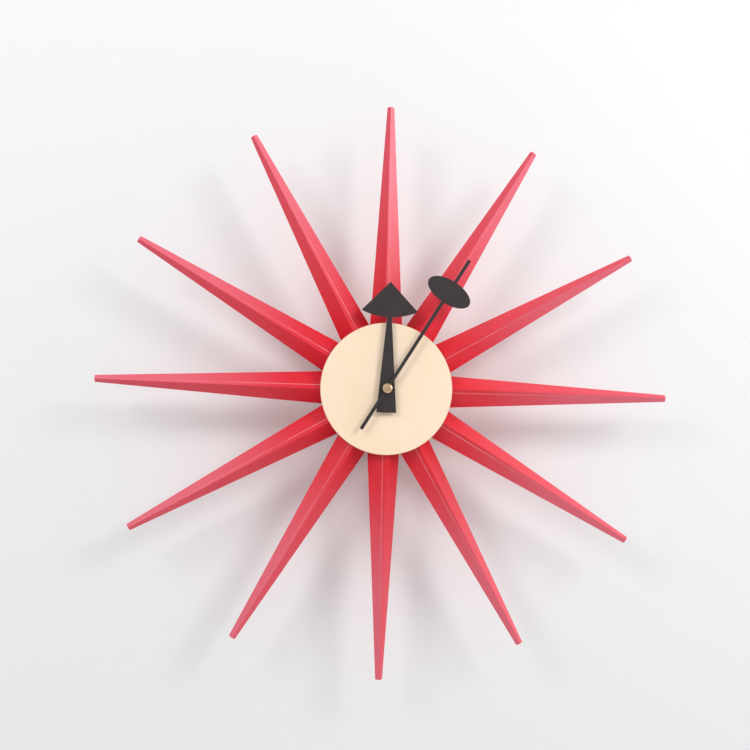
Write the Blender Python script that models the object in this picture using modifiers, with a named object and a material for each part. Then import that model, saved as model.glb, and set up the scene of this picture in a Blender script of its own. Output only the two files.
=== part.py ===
"""Sunburst wall clock: twelve tapered rays around a steel cup, a cream dial, two hands and a quartz
movement with its battery.

The clock is modelled lying on its back: X to three o'clock, Y to twelve o'clock, Z out from the
wall, and heights are distances from the wall. One empty then stands it up, so that the wall is the
plane Y = 0 and the dial faces -Y. Lengths are in metres.
"""

import math

import bmesh
import bpy
from mathutils import Matrix

MM = 0.001

# --- Driving dimensions ---------------------------------------------------------------------------
GAP = 0.3 * MM  # left between pieces that touch on the real clock
RUN = 0.25 * MM  # running clearance of an arbor in its hole

DIAL_FACE = 62 * MM  # dial's face, from the wall
DIAL_RADIUS = 53.6 * MM
DIAL_THICK = 2.5 * MM
DIAL_EDGE = 0.5 * MM  # rounding of the dial's edge

RAYS = 12
RAY_TIP = 235 * MM  # radius of the ray tips
RAY_ROOT_WIDTH = 27.2 * MM  # across the corners, where a ray meets the cup
RAY_TIP_WIDTH = 6.15 * MM
RAY_TWIST = math.radians(8)  # a ray turns this much about its length as its screw pulls up
RAY_EDGE = 0.4 * MM  # sanded edges
RAY_UNDER_DIAL = 1.1 * MM  # from a ray's front edge to the dial's back
# Degrees clockwise that a ray sits off its hour, because one screw alone holds it.
RAY_LEAN = {1: 0.5, 3: -0.2, 5: 0.2, 6: -0.5, 9: 0.3, 10: -0.4, 11: 0.9, 12: -0.4}

CUP_RADIUS = 50.5 * MM
CUP_SHEET = 1.0 * MM
CUP_CORNER = 2.0 * MM
CUP_LIP = 8.0 * MM  # width of the lip turned in at the cup's back

SCREW_RADIUS = 2.0 * MM
SCREW_LENGTH = 22 * MM  # under the head
SCREW_HEAD_RADIUS = 3.8 * MM
SCREW_HEAD = 2.4 * MM

STRAP_WIDTH = 20 * MM
STRAP_THICK = 1.5 * MM
STRAP_MARGIN = 3.5 * MM  # from the cup's side to the end of the strap
KEYHOLE_HEIGHT = 24 * MM  # centre of the keyhole's round end, above the axis
KEYHOLE_RADIUS = 4.6 * MM
KEYHOLE_SLOT = 2.25 * MM  # half the slot's width
KEYHOLE_RISE = 10 * MM
STRAP_SCREW_RADIUS = 1.5 * MM
STRAP_SCREW_HEAD = 2.7 * MM
STRAP_SCREW_LENGTH = 6 * MM

CASE_DEPTH = 16 * MM
CASE_WALL = 1.4 * MM
CASE_CORNER = 2.0 * MM

BUSH_RADIUS = 3.5 * MM
BUSH_BORE = 2.8 * MM
BUSH_FLANGE = 5.3 * MM
BUSH_FLANGE_THICK = 0.5 * MM
RUBBER_RADIUS = 8.5 * MM
RUBBER_THICK = 1.0 * MM
WASHER_RADIUS = 5.5 * MM
WASHER_THICK = 0.5 * MM
NUT_RADIUS = 5.5 * MM  # across the corners, halved
NUT_THICK = 1.8 * MM

TUBE_RADIUS = 2.5 * MM  # the hour hand's tube
TUBE_BORE = 1.85 * MM
ARBOR_RADIUS = 1.55 * MM  # the minute hand's arbor
ARBOR_REAR_RADIUS = 1.0 * MM
ARBOR_THREAD_RADIUS = 1.2 * MM
PIN_RADIUS = 0.5 * MM  # arbors of the small wheels
CENTRE_HUB = 1.65 * MM
SPRING_RADIUS = 3.0 * MM  # dished washer through which the train turns the hands
SPRING_SHEET = 0.2 * MM
POST_RADIUS = 0.6 * MM  # post on which the minute wheel runs
MAGNET_RADIUS = 2.0 * MM

HAND_THICK = 0.6 * MM
HAND_SPACE = 1.2 * MM  # between the two hands
HOUR_ANGLE = 0.3  # degrees clockwise of twelve, both hands as they stand
MINUTE_ANGLE = 31.0
HOUR_APEX = 86.6 * MM
HOUR_CORNER = 62.8 * MM
HOUR_CORNER_HALF = 22.9 * MM
HOUR_BELLY = 57.7 * MM  # lowest point of the head's curved foot
HOUR_NECK_HALF = 1.85 * MM
HOUR_TAIL = 19.5 * MM
HOUR_TAIL_HALF = 8.0 * MM
MINUTE_TIP = 124.3 * MM
MINUTE_TAIL = 38.9 * MM
MINUTE_HALF = 1.4 * MM
OVAL_CENTRE = 93.1 * MM
OVAL_ACROSS = 19.5 * MM
OVAL_ALONG = 9.6 * MM
HUB_RADIUS = 4.7 * MM
CAP_RADIUS = 3.9 * MM
CAP_HEIGHT = 3.0 * MM

BATTERY_RADIUS = 7.1 * MM
BATTERY_LENGTH = 49.0 * MM
BATTERY_NUB = 1.2 * MM
BATTERY_NUB_RADIUS = 2.7 * MM
BATTERY_PLAY = 0.5 * MM  # between the cell's nub and its contact
CONTACT_THICK = 0.3 * MM
CONTACT_BOW = 1.0 * MM  # how far the minus contact springs out to the cell

# --- Gears: teeth and module ----------------------------------------------------------------------
HOUR_MODULE = 0.288 * MM  # same centre distance as the cannon pinion's 12 and 36 teeth
MOTION_MODULE = 0.3 * MM
CENTRE_MODULE = 0.25 * MM
TRAIN_MODULE = 0.2 * MM
HOUR_TEETH, MINUTE_PINION = 40, 10
MINUTE_TEETH, CANNON_TEETH = 36, 12
KNOB_TEETH = 12
CENTRE_TEETH, THIRD_PINION = 60, 8
THIRD_TEETH, SECONDS_PINION = 64, 8
SECONDS_TEETH, IDLER_PINION = 60, 10
IDLER_TEETH, ROTOR_PINION = 40, 8
ADDENDUM, DEDENDUM = 0.8, 1.25  # tooth above and below the pitch circle, in modules
TOOTH_ROOT = 0.6  # a tooth's width at its root, as a share of the pitch

ROUND = 20  # facets of a small round piece
ROUND_PIN = 8  # facets of an arbor, a drilled hole and a screw
ROUND_LARGE = 48  # facets of the cup and the dial

# --- Heights from the wall, each worked out from the piece it rests on ----------------------------
DIAL_BACK = DIAL_FACE - DIAL_THICK
CUP_FRONT = DIAL_BACK - GAP
RUBBER_FRONT = CUP_FRONT - CUP_SHEET - GAP
CASE_FRONT = RUBBER_FRONT - RUBBER_THICK - GAP
CASE_BACK = CASE_FRONT - CASE_DEPTH
PLATE = CASE_FRONT - CASE_WALL  # inner face of the case's front
COVER = CASE_BACK + CASE_WALL  # inner face of the case's back
WASHER_BACK = DIAL_FACE + GAP
NUT_BACK = WASHER_BACK + WASHER_THICK + GAP
BUSH_FRONT = NUT_BACK + NUT_THICK + GAP
HOUR_BACK = BUSH_FRONT + 2 * GAP
TUBE_FRONT = HOUR_BACK + HAND_THICK + GAP
MINUTE_BACK = HOUR_BACK + HAND_THICK + HAND_SPACE
SHOULDER = MINUTE_BACK - GAP
CAP_BACK = MINUTE_BACK + HAND_THICK + GAP
RAY_AXIS = DIAL_BACK - RAY_UNDER_DIAL - RAY_ROOT_WIDTH / 2
LIP_BACK = STRAP_THICK + GAP

# --- Places in the movement, from its centre ------------------------------------------------------
PIN_REACH = 0.8 * MM  # depth of an arbor's end in a plate
PIN_END = 0.2 * MM  # end play
MOTION_DISTANCE = MOTION_MODULE * (MINUTE_TEETH + CANNON_TEETH) / 2
KNOB_DISTANCE = MOTION_MODULE * (MINUTE_TEETH + KNOB_TEETH) / 2
THIRD_DISTANCE = CENTRE_MODULE * (CENTRE_TEETH + THIRD_PINION) / 2
SECONDS_DISTANCE = TRAIN_MODULE * (THIRD_TEETH + SECONDS_PINION) / 2
IDLER_DISTANCE = TRAIN_MODULE * (SECONDS_TEETH + IDLER_PINION) / 2
ROTOR_DISTANCE = TRAIN_MODULE * (IDLER_TEETH + ROTOR_PINION) / 2
TO_MINUTE, TO_KNOB = math.radians(180), math.radians(180)
TO_THIRD, TO_SECONDS = math.radians(60), math.radians(30)
TO_IDLER, TO_ROTOR = math.radians(120), math.radians(180)


def beyond(place, distance, direction):
    return (place[0] + distance * math.cos(direction), place[1] + distance * math.sin(direction))


CENTRE_AT = (0.0, 0.0)
MINUTE_AT = beyond(CENTRE_AT, MOTION_DISTANCE, TO_MINUTE)
KNOB_AT = beyond(MINUTE_AT, KNOB_DISTANCE, TO_KNOB)
THIRD_AT = beyond(CENTRE_AT, THIRD_DISTANCE, TO_THIRD)
SECONDS_AT = beyond(THIRD_AT, SECONDS_DISTANCE, TO_SECONDS)
IDLER_AT = beyond(SECONDS_AT, IDLER_DISTANCE, TO_IDLER)
ROTOR_AT = beyond(IDLER_AT, ROTOR_DISTANCE, TO_ROTOR)

# The case is as wide inside as the cell with its contacts.
CELL_START = 2 * GAP + CONTACT_THICK + CONTACT_BOW  # from the case's side to the cell's flat end
CELL_END = BATTERY_PLAY + CONTACT_THICK + GAP  # from the cell's nub to the case's other side
CASE_INNER = (CELL_START + BATTERY_LENGTH + BATTERY_NUB + CELL_END) / 2
CASE_HALF = CASE_INNER + CASE_WALL
BAY_ROOM = 1.1 * MM  # more than the cell's width, so that it drops in
BAY_TOP = -CASE_INNER + 2 * BATTERY_RADIUS + BAY_ROOM
BAY_WALL = 1.2 * MM
BATTERY_Y = (BAY_TOP - CASE_INNER) / 2
BATTERY_Z = PLATE - GAP - BATTERY_RADIUS
KNOB_RADIUS = 6.55 * MM  # to the tips of its grip
KNOB_GRIPS = 18
KNOB_THICK = 3.0 * MM
KNOB_SHAFT = 1.2 * MM
PEG_RADIUS = 1.2 * MM  # moulded pegs under the stator and the board

# Layers of the movement, as depths behind the inner face of the case's front.
HOUR_WHEEL_LAYER = (0.4 * MM, 1.6 * MM)
MINUTE_PINION_LAYER = (0.4 * MM, 2.3 * MM)
MINUTE_WHEEL_LAYER = (2.2 * MM, 3.2 * MM)
CANNON_LAYER = (1.9 * MM, 3.4 * MM)
SPRING_LAYER = (3.5 * MM, 4.0 * MM)
CENTRE_LAYER = (4.2 * MM, 5.2 * MM)
THIRD_PINION_LAYER = (3.9 * MM, 6.3 * MM)
THIRD_LAYER = (6.2 * MM, 7.2 * MM)
SECONDS_PINION_LAYER = (5.9 * MM, 8.2 * MM)
SECONDS_LAYER = (8.1 * MM, 9.1 * MM)
IDLER_PINION_LAYER = (7.8 * MM, 10.0 * MM)
IDLER_LAYER = (9.9 * MM, 10.7 * MM)
ROTOR_PINION_LAYER = (9.6 * MM, 11.0 * MM)
MAGNET_LAYER = (4.0 * MM, 6.6 * MM)
STATOR_LAYER = (4.8 * MM, 5.8 * MM)
CORE_LAYER = (6.1 * MM, 7.1 * MM)
BOARD_LAYER = (4.6 * MM, 5.6 * MM)
CONTACT_LAYER = (4.2 * MM, 9.0 * MM)


# --- Making and joining shapes --------------------------------------------------------------------
for left_over in list(bpy.data.objects):
    bpy.data.objects.remove(left_over, do_unlink=True)
PARTS = bpy.data.collections.new("sunburst_clock")
CUTTERS = bpy.data.collections.new("cutters")
for collection in (PARTS, CUTTERS):
    bpy.context.scene.collection.children.link(collection)
STAND = bpy.data.objects.new("stand_up", None)
STAND.rotation_euler = (math.pi / 2, 0, 0)
PARTS.objects.link(STAND)


def shape(mesh, at=(0.0, 0.0)):
    """Puts a mesh among the cutters, from which part() takes the ones that are pieces."""
    obj = bpy.data.objects.new(mesh.name, mesh)
    obj.location = (at[0], at[1], 0)
    obj.parent = STAND
    obj.hide_render = True
    obj.display_type = "WIRE"
    CUTTERS.objects.link(obj)
    return obj


def from_bmesh(bm, at=(0.0, 0.0)):
    mesh = bpy.data.meshes.new("shape")
    bm.to_mesh(mesh)
    bm.free()
    return shape(mesh, at)


def settled(obj):
    """Mesh of an object with its modifiers worked in, welded, round faces smooth."""
    bpy.context.view_layer.update()
    mesh = bpy.data.meshes.new_from_object(obj.evaluated_get(bpy.context.evaluated_depsgraph_get()))
    bm = bmesh.new()
    bm.from_mesh(mesh)
    bmesh.ops.remove_doubles(bm, verts=bm.verts, dist=0.001 * MM)
    bm.to_mesh(mesh)
    bm.free()
    mesh.shade_smooth()
    mesh.set_sharp_from_angle(angle=math.radians(30))
    return mesh


def baked(obj):
    """The same object, its modifiers or curve turned into a plain mesh."""
    result = shape(settled(obj), obj.location[:2])
    bpy.data.objects.remove(obj, do_unlink=True)
    return result


def rod(radius, low, high, at=(0.0, 0.0), facets=ROUND, top_radius=None):
    """Upright cylinder, or a cone with top_radius."""
    bm = bmesh.new()
    bmesh.ops.create_cone(
        bm, cap_ends=True, segments=facets, radius1=radius,
        radius2=radius if top_radius is None else top_radius, depth=high - low,
    )
    bmesh.ops.translate(bm, verts=bm.verts, vec=(0, 0, (low + high) / 2))
    return from_bmesh(bm, at)


def block(x, y, z):
    """Box from its low and high along each axis."""
    bm = bmesh.new()
    bmesh.ops.create_cube(bm, size=1)
    bmesh.ops.scale(bm, verts=bm.verts, vec=[high - low for low, high in (x, y, z)])
    bmesh.ops.translate(bm, verts=bm.verts, vec=[(low + high) / 2 for low, high in (x, y, z)])
    return from_bmesh(bm)


def turned(profile, at=(0.0, 0.0), facets=ROUND, ring=True):
    """Profile of (radius, height) swept round the upright axis; it runs down its outer side."""
    mesh = bpy.data.meshes.new("shape")
    last = len(profile) if ring else len(profile) - 1
    edges = [(i, (i + 1) % len(profile)) for i in range(last)]
    mesh.from_pydata([(radius, 0, height) for radius, height in profile], edges, [])
    obj = shape(mesh, at)
    screw = obj.modifiers.new("turn", "SCREW")
    screw.angle = 2 * math.pi
    screw.steps = screw.render_steps = facets
    screw.use_merge_vertices = True
    screw.merge_threshold = 0.01 * MM
    return baked(obj)


def ring(inner, outer, low, high, at=(0.0, 0.0), facets=ROUND):
    return turned([(outer, high), (outer, low), (inner, low), (inner, high)], at, facets)


def plate(outlines, low, high, at=(0.0, 0.0)):
    """Flat piece between two heights from its outline and the outlines of its holes."""
    curve = bpy.data.curves.new("shape", "CURVE")
    curve.dimensions = "2D"
    curve.fill_mode = "BOTH"
    curve.extrude = (high - low) / 2
    for outline in outlines:
        spline = curve.splines.new("POLY")
        spline.points.add(len(outline) - 1)
        for point, (x, y) in zip(spline.points, outline, strict=True):
            point.co = (x, y, 0, 1)
        spline.use_cyclic_u = True
    obj = baked(shape(curve, at))
    obj.data.transform(Matrix.Translation((0, 0, (low + high) / 2)))
    return obj


def boolean(obj, operation, others):
    for other in others:
        step = obj.modifiers.new(operation.lower(), "BOOLEAN")
        step.operation = operation
        step.solver = "EXACT"
        step.object = other
    return obj


def joined(obj, *others):
    return boolean(obj, "UNION", others)


def cut(obj, *others):
    return boolean(obj, "DIFFERENCE", others)


def part(name, obj, finish, turn=0.0):
    """Makes a shape a piece of the clock, turned clockwise by so many degrees about its origin."""
    CUTTERS.objects.unlink(obj)
    PARTS.objects.link(obj)
    obj.name = obj.data.name = name
    obj.hide_render = False
    obj.display_type = "TEXTURED"
    obj.rotation_euler = (0, 0, -math.radians(turn))
    obj.data.materials.clear()
    obj.data.materials.append(finish)
    return obj


def finish(name, colour, roughness, metallic=0.0):
    material = bpy.data.materials.new(name)
    material.use_nodes = True
    shader = material.node_tree.nodes["Principled BSDF"]
    shader.inputs["Base Color"].default_value = (*colour, 1)
    shader.inputs["Roughness"].default_value = roughness
    shader.inputs["Metallic"].default_value = metallic
    return material


RED_LACQUER = finish("red_lacquer", (0.72, 0.03, 0.06), 0.45)
CREAM_PAINT = finish("cream_paint", (0.97, 0.81, 0.62), 0.5)
BLACK_PAINT = finish("black_paint", (0.03, 0.026, 0.026), 0.55)
BRASS = finish("brass", (0.72, 0.55, 0.27), 0.3, 1.0)
STEEL = finish("zinc_steel", (0.6, 0.6, 0.6), 0.35, 1.0)
CUP_PAINT = finish("grey_enamel", (0.5, 0.5, 0.5), 0.5)
RUBBER = finish("rubber", (0.02, 0.02, 0.02), 0.85)
CASE_PLASTIC = finish("black_plastic", (0.015, 0.015, 0.015), 0.5)
GEAR_PLASTIC = finish("white_plastic", (0.82, 0.81, 0.76), 0.4)
COPPER = finish("copper_wire", (0.75, 0.3, 0.13), 0.35, 1.0)
BOARD = finish("circuit_board", (0.25, 0.14, 0.05), 0.55)
RESIN = finish("black_resin", (0.01, 0.01, 0.01), 0.3)
FERRITE = finish("ferrite", (0.05, 0.05, 0.055), 0.6)
BATTERY_WRAP = finish("battery_wrap", (0.05, 0.16, 0.1), 0.35)


# --- Outlines -------------------------------------------------------------------------------------
def arc(centre, radius, start, end, count):
    """Points on an arc, both ends included; angles in degrees."""
    angles = [math.radians(start + (end - start) * i / (count - 1)) for i in range(count)]
    return [(centre[0] + radius * math.cos(a), centre[1] + radius * math.sin(a)) for a in angles]


def circle(radius, centre=(0.0, 0.0), facets=ROUND):
    return arc(centre, radius, 0, 360, facets + 1)[:-1]


def rounded_box(half_x, half_y, corner, steps=4):
    centres = [(1, 1, 0), (-1, 1, 90), (-1, -1, 180), (1, -1, 270)]
    points = []
    for side_x, side_y, start in centres:
        middle = (side_x * (half_x - corner), side_y * (half_y - corner))
        points += arc(middle, corner, start, start + 90, steps)
    return points


def mirrored(half):
    """Closed outline from its right half, which runs from the foot up to the head."""
    return half + [(-x, y) for x, y in reversed(half) if x > 1e-9]


def gear(teeth, module, phase):
    """Outline of a wheel or pinion with one tooth at the angle phase."""
    points = []
    step = 2 * math.pi / teeth
    pitch_radius = teeth * module / 2
    root = pitch_radius - DEDENDUM * module
    tip = pitch_radius + ADDENDUM * module
    for i in range(teeth):
        middle = phase + i * step
        for radius, side in ((root, -TOOTH_ROOT), (tip, 0.0), (root, TOOTH_ROOT)):
            angle = middle + side * step / 2
            points.append((radius * math.cos(angle), radius * math.sin(angle)))
    return points


def meshing(direction, driver_teeth, driver_phase, teeth):
    """Phase of a gear that lies in this direction from its driver and meshes with it."""
    lead = driver_phase - direction
    return direction + math.pi - lead * driver_teeth / teeth + math.pi / teeth


def between(layer):
    """Low and high of a layer of the movement, from its depths behind the front plate."""
    return PLATE - layer[1], PLATE - layer[0]


def toothed(teeth, module, phase, layer, at):
    return plate([gear(teeth, module, phase)], *between(layer), at)


# --- The rays and the cup -------------------------------------------------------------------------
def ray_angle(hour):
    """Degrees clockwise of twelve at which a ray stands."""
    return 360 / RAYS * hour + RAY_LEAN.get(hour, 0.0)


def closest_rays():
    """Smallest angle between two neighbouring rays, in degrees."""
    angles = sorted(ray_angle(hour) for hour in range(1, RAYS + 1))
    steps = [b - a for a, b in zip(angles, angles[1:])]
    return min([*steps, 360 + angles[0] - angles[-1]])


def ray_shape():
    """Square bar on edge, tapered to its tip, hollowed and mitred to sit on the cup."""
    taper = (RAY_ROOT_WIDTH - RAY_TIP_WIDTH) / (RAY_TIP - CUP_RADIUS)
    seat = CUP_RADIUS + GAP
    start = CUP_RADIUS * 0.9
    bm = bmesh.new()
    bmesh.ops.create_cone(
        bm, cap_ends=True, segments=4, radius1=(RAY_ROOT_WIDTH + taper * (CUP_RADIUS - start)) / 2,
        radius2=RAY_TIP_WIDTH / 2, depth=RAY_TIP - start,
    )
    bmesh.ops.rotate(bm, verts=bm.verts, matrix=Matrix.Rotation(-RAY_TWIST, 3, "Z"))
    bmesh.ops.translate(bm, verts=bm.verts, vec=(0, 0, (start + RAY_TIP) / 2))
    bmesh.ops.rotate(bm, verts=bm.verts, matrix=Matrix.Rotation(-math.pi / 2, 3, "X"))
    bmesh.ops.translate(bm, verts=bm.verts, vec=(0, 0, RAY_AXIS))
    bar = from_bmesh(bm)
    edges = bar.modifiers.new("sanded_edges", "BEVEL")
    edges.width = RAY_EDGE
    edges.segments = 1
    half = closest_rays() / 2
    apex = GAP / 2 / math.sin(math.radians(half))  # leaves half a gap on each side
    hollow = arc((0.0, 0.0), seat, 90 - half, 90 + half, 9)
    far = RAY_TIP * 1.1
    reach = far * math.tan(math.radians(half))
    wedge = plate([hollow + [(-reach, apex + far), (reach, apex + far)]], 0, 2 * RAY_AXIS)
    boolean(bar, "INTERSECT", [wedge])
    hole = rod(SCREW_RADIUS + GAP, 0, CUP_RADIUS + SCREW_LENGTH + GAP, facets=ROUND_PIN)
    hole.data.transform(Matrix.Translation((0, 0, RAY_AXIS)) @ Matrix.Rotation(-math.pi / 2, 4, "X"))
    return baked(cut(bar, hole))


def screw_shape(radius, head_radius, head, length):
    """Round-headed wood screw with a crossed recess, upright, head below, its shoulder at zero."""
    point = radius * 2.5
    crown, flat = head * 0.35, head_radius * 0.6  # the head's upright side and its flat top
    profile = [(0, length), (radius, length - point), (radius, 0), (head_radius, 0)]
    profile += [(head_radius, -crown), (flat, -head), (0, -head)]
    wide, narrow, deep = head_radius * 0.55, head_radius * 0.12, head * 0.55
    ways = ((wide, narrow), (narrow, wide))
    slots = [block((-a, a), (-b, b), (-head * 1.2, deep - head)) for a, b in ways]
    return baked(cut(turned(profile, facets=ROUND_PIN, ring=False), *slots))


def make_rays():
    ray = ray_shape()
    screw = screw_shape(SCREW_RADIUS, SCREW_HEAD_RADIUS, SCREW_HEAD, SCREW_LENGTH)
    head_seat = CUP_RADIUS - CUP_SHEET - GAP
    screw.data.transform(
        Matrix.Translation((0, head_seat, RAY_AXIS)) @ Matrix.Rotation(-math.pi / 2, 4, "X")
    )
    for hour in range(1, RAYS + 1):
        part(f"ray_{hour:02d}", shape(ray.data.copy()), RED_LACQUER, ray_angle(hour))
        part(f"ray_screw_{hour:02d}", shape(screw.data.copy()), STEEL, ray_angle(hour))


def make_cup():
    """Spun cup, closed in front, with a lip turned in at its open back."""
    side, sheet, corner = CUP_RADIUS, CUP_SHEET, CUP_CORNER
    front, back = CUP_FRONT, LIP_BACK
    lip = side - CUP_LIP

    def bend(radius, high):
        """Quarter of the front or the back corner, from the axis side to the cup's side."""
        middle = (side - corner, front - corner if high else back + corner)
        turn = (90, 0) if high else (0, -90)
        return arc(middle, radius, *turn, 3)

    hole = BUSH_RADIUS + GAP
    outside = [(hole, front), *bend(corner, True), *bend(corner, False), (lip, back)]
    inside = [(lip, back + sheet), *reversed(bend(corner - sheet, False))]
    inside += [*reversed(bend(corner - sheet, True)), (hole, front - sheet)]
    cup = turned(outside + inside, facets=ROUND_LARGE)
    drills = []
    for hour in range(1, RAYS + 1):
        drill = rod(SCREW_RADIUS + GAP, side * 0.9, side * 1.1, facets=ROUND_PIN)
        drill.data.transform(
            Matrix.Rotation(-math.radians(ray_angle(hour)), 4, "Z")
            @ Matrix.Translation((0, 0, RAY_AXIS)) @ Matrix.Rotation(-math.pi / 2, 4, "X")
        )
        drills.append(drill)
    for side_y in (-1, 1):
        drills.append(rod(STRAP_SCREW_RADIUS + GAP, 0, 3 * sheet + LIP_BACK, (0, side_y * strap_screw_y())))
    return part("housing_cup", baked(cut(cup, *drills)), CUP_PAINT)


def make_dial():
    edge = DIAL_EDGE
    rim = [(DIAL_RADIUS - edge + x, DIAL_FACE - edge + z) for x, z in arc((0, 0), edge, 90, 0, 3)]
    hole = BUSH_RADIUS + GAP
    profile = [(hole, DIAL_FACE), *rim, (DIAL_RADIUS, DIAL_BACK), (hole, DIAL_BACK)]
    return part("dial", turned(profile, facets=ROUND_LARGE), CREAM_PAINT)


# --- The hanger at the back -----------------------------------------------------------------------
def strap_screw_y():
    return CUP_RADIUS - CUP_LIP / 2 - CUP_SHEET / 2


def keyhole():
    """Round hole for a nail's head, with a slot up from it for the nail."""
    mouth = math.degrees(math.acos(KEYHOLE_SLOT / KEYHOLE_RADIUS))
    round_end = arc((0, KEYHOLE_HEIGHT), KEYHOLE_RADIUS, 180 - mouth, 360 + mouth, 21)
    slot_end = arc((0, KEYHOLE_HEIGHT + KEYHOLE_RISE), KEYHOLE_SLOT, 0, 180, 9)
    return round_end + slot_end


def make_strap():
    half = CUP_RADIUS - STRAP_MARGIN
    outline = rounded_box(STRAP_WIDTH / 2, half, STRAP_WIDTH / 4)
    strap = plate([outline, keyhole()], 0, STRAP_THICK)
    head = STRAP_SCREW_HEAD
    for name, side in (("strap_screw_top", 1), ("strap_screw_bottom", -1)):
        at = (0, side * strap_screw_y())
        drill = rod(STRAP_SCREW_RADIUS + GAP, -STRAP_THICK, 2 * STRAP_THICK, at)
        mouth = head + GAP + STRAP_THICK
        cut(strap, drill, rod(mouth, -STRAP_THICK, STRAP_THICK, at, top_radius=STRAP_SCREW_RADIUS + GAP))
        length = STRAP_SCREW_LENGTH
        point = [(0, length), (STRAP_SCREW_RADIUS, length - 2 * STRAP_SCREW_RADIUS)]
        cone = [(STRAP_SCREW_RADIUS, STRAP_THICK), (head, STRAP_THICK / 4), (head, GAP / 2), (0, GAP / 2)]
        screw = turned(point + cone, at, 16, ring=False)
        part(name, screw, STEEL)
    return part("hanger_strap", strap, STEEL)


# --- The stack that clamps the dial ---------------------------------------------------------------
def make_clamp():
    hole = BUSH_RADIUS + GAP
    flange_front = PLATE + BUSH_FLANGE_THICK
    bush = [
        (BUSH_RADIUS, BUSH_FRONT), (BUSH_RADIUS, flange_front), (BUSH_FLANGE, flange_front),
        (BUSH_FLANGE, PLATE), (BUSH_BORE, PLATE), (BUSH_BORE, BUSH_FRONT),
    ]
    part("threaded_bush", turned(bush), BRASS)
    part("rubber_washer", ring(hole, RUBBER_RADIUS, RUBBER_FRONT - RUBBER_THICK, RUBBER_FRONT), RUBBER)
    part("flat_washer", ring(hole, WASHER_RADIUS, WASHER_BACK, WASHER_BACK + WASHER_THICK), BRASS)
    nut = plate([circle(NUT_RADIUS, facets=6), circle(hole)], NUT_BACK, NUT_BACK + NUT_THICK)
    part("hex_nut", nut, BRASS)


# --- The hands ------------------------------------------------------------------------------------
def hour_outline():
    sag = HOUR_CORNER - HOUR_BELLY
    radius = (HOUR_CORNER_HALF**2 + sag**2) / (2 * sag)
    middle = (0.0, HOUR_BELLY + radius)
    neck = math.degrees(math.asin(HOUR_NECK_HALF / radius))
    corner = math.degrees(math.asin(HOUR_CORNER_HALF / radius))
    foot = arc(middle, radius, 270 + neck, 270 + corner, 6)
    return mirrored([(HOUR_TAIL_HALF, -HOUR_TAIL), *foot, (0.0, HOUR_APEX)])


def minute_outline():
    across = math.degrees(math.asin(MINUTE_HALF / HUB_RADIUS))
    hub = arc((0, 0), HUB_RADIUS, across - 90, 90 - across, 9)
    narrow = math.degrees(math.asin(MINUTE_HALF / OVAL_ACROSS))
    oval = [
        (OVAL_ACROSS * x, OVAL_CENTRE + OVAL_ALONG * y)
        for x, y in arc((0, 0), 1, narrow - 90, 90 - narrow, 17)
    ]
    return mirrored([(MINUTE_HALF, -MINUTE_TAIL), *hub, *oval, (MINUTE_HALF, MINUTE_TIP)])


def make_hands():
    hour = plate([hour_outline(), circle(TUBE_RADIUS + GAP)], HOUR_BACK, HOUR_BACK + HAND_THICK)
    part("hour_hand", hour, BLACK_PAINT, HOUR_ANGLE)
    hole = circle(ARBOR_THREAD_RADIUS + GAP)
    minute = plate([minute_outline(), hole], MINUTE_BACK, MINUTE_BACK + HAND_THICK)
    part("minute_hand", minute, BLACK_PAINT, MINUTE_ANGLE)
    top, bore = CAP_BACK + CAP_HEIGHT, ARBOR_THREAD_RADIUS + GAP
    crown = ((0.0, 0.0), (0.55, 0.08), (0.85, 0.25), (1.0, 0.5))  # share of the radius, and of the height
    dome = [(CAP_RADIUS * out, top - CAP_HEIGHT * down) for out, down in crown] + [(CAP_RADIUS, CAP_BACK)]
    blind = [(bore, CAP_BACK), (bore, top - 0.3 * CAP_HEIGHT), (0, top - 0.3 * CAP_HEIGHT)]
    part("cap_nut", turned(dome + blind, ring=False), BRASS)


# --- The movement's wheels ------------------------------------------------------------------------
def pin(at, radius=PIN_RADIUS):
    """Arbor that runs from plate to plate."""
    return rod(radius, COVER - PIN_REACH + PIN_END, PLATE + PIN_REACH - PIN_END, at, ROUND_PIN)


CANNON_PHASE = 0.0
MINUTE_PHASE = meshing(TO_MINUTE, CANNON_TEETH, CANNON_PHASE, MINUTE_TEETH)
MINUTE_PINION_PHASE = 0.0
HOUR_PHASE = meshing(TO_MINUTE + math.pi, MINUTE_PINION, MINUTE_PINION_PHASE, HOUR_TEETH)
KNOB_PHASE = meshing(TO_KNOB, MINUTE_TEETH, MINUTE_PHASE, KNOB_TEETH)
CENTRE_PHASE = 0.0
THIRD_PINION_PHASE = meshing(TO_THIRD, CENTRE_TEETH, CENTRE_PHASE, THIRD_PINION)
SECONDS_PINION_PHASE = meshing(TO_SECONDS, THIRD_TEETH, 0.0, SECONDS_PINION)
IDLER_PINION_PHASE = meshing(TO_IDLER, SECONDS_TEETH, 0.0, IDLER_PINION)
ROTOR_PINION_PHASE = meshing(TO_ROTOR, IDLER_TEETH, 0.0, ROTOR_PINION)


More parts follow.
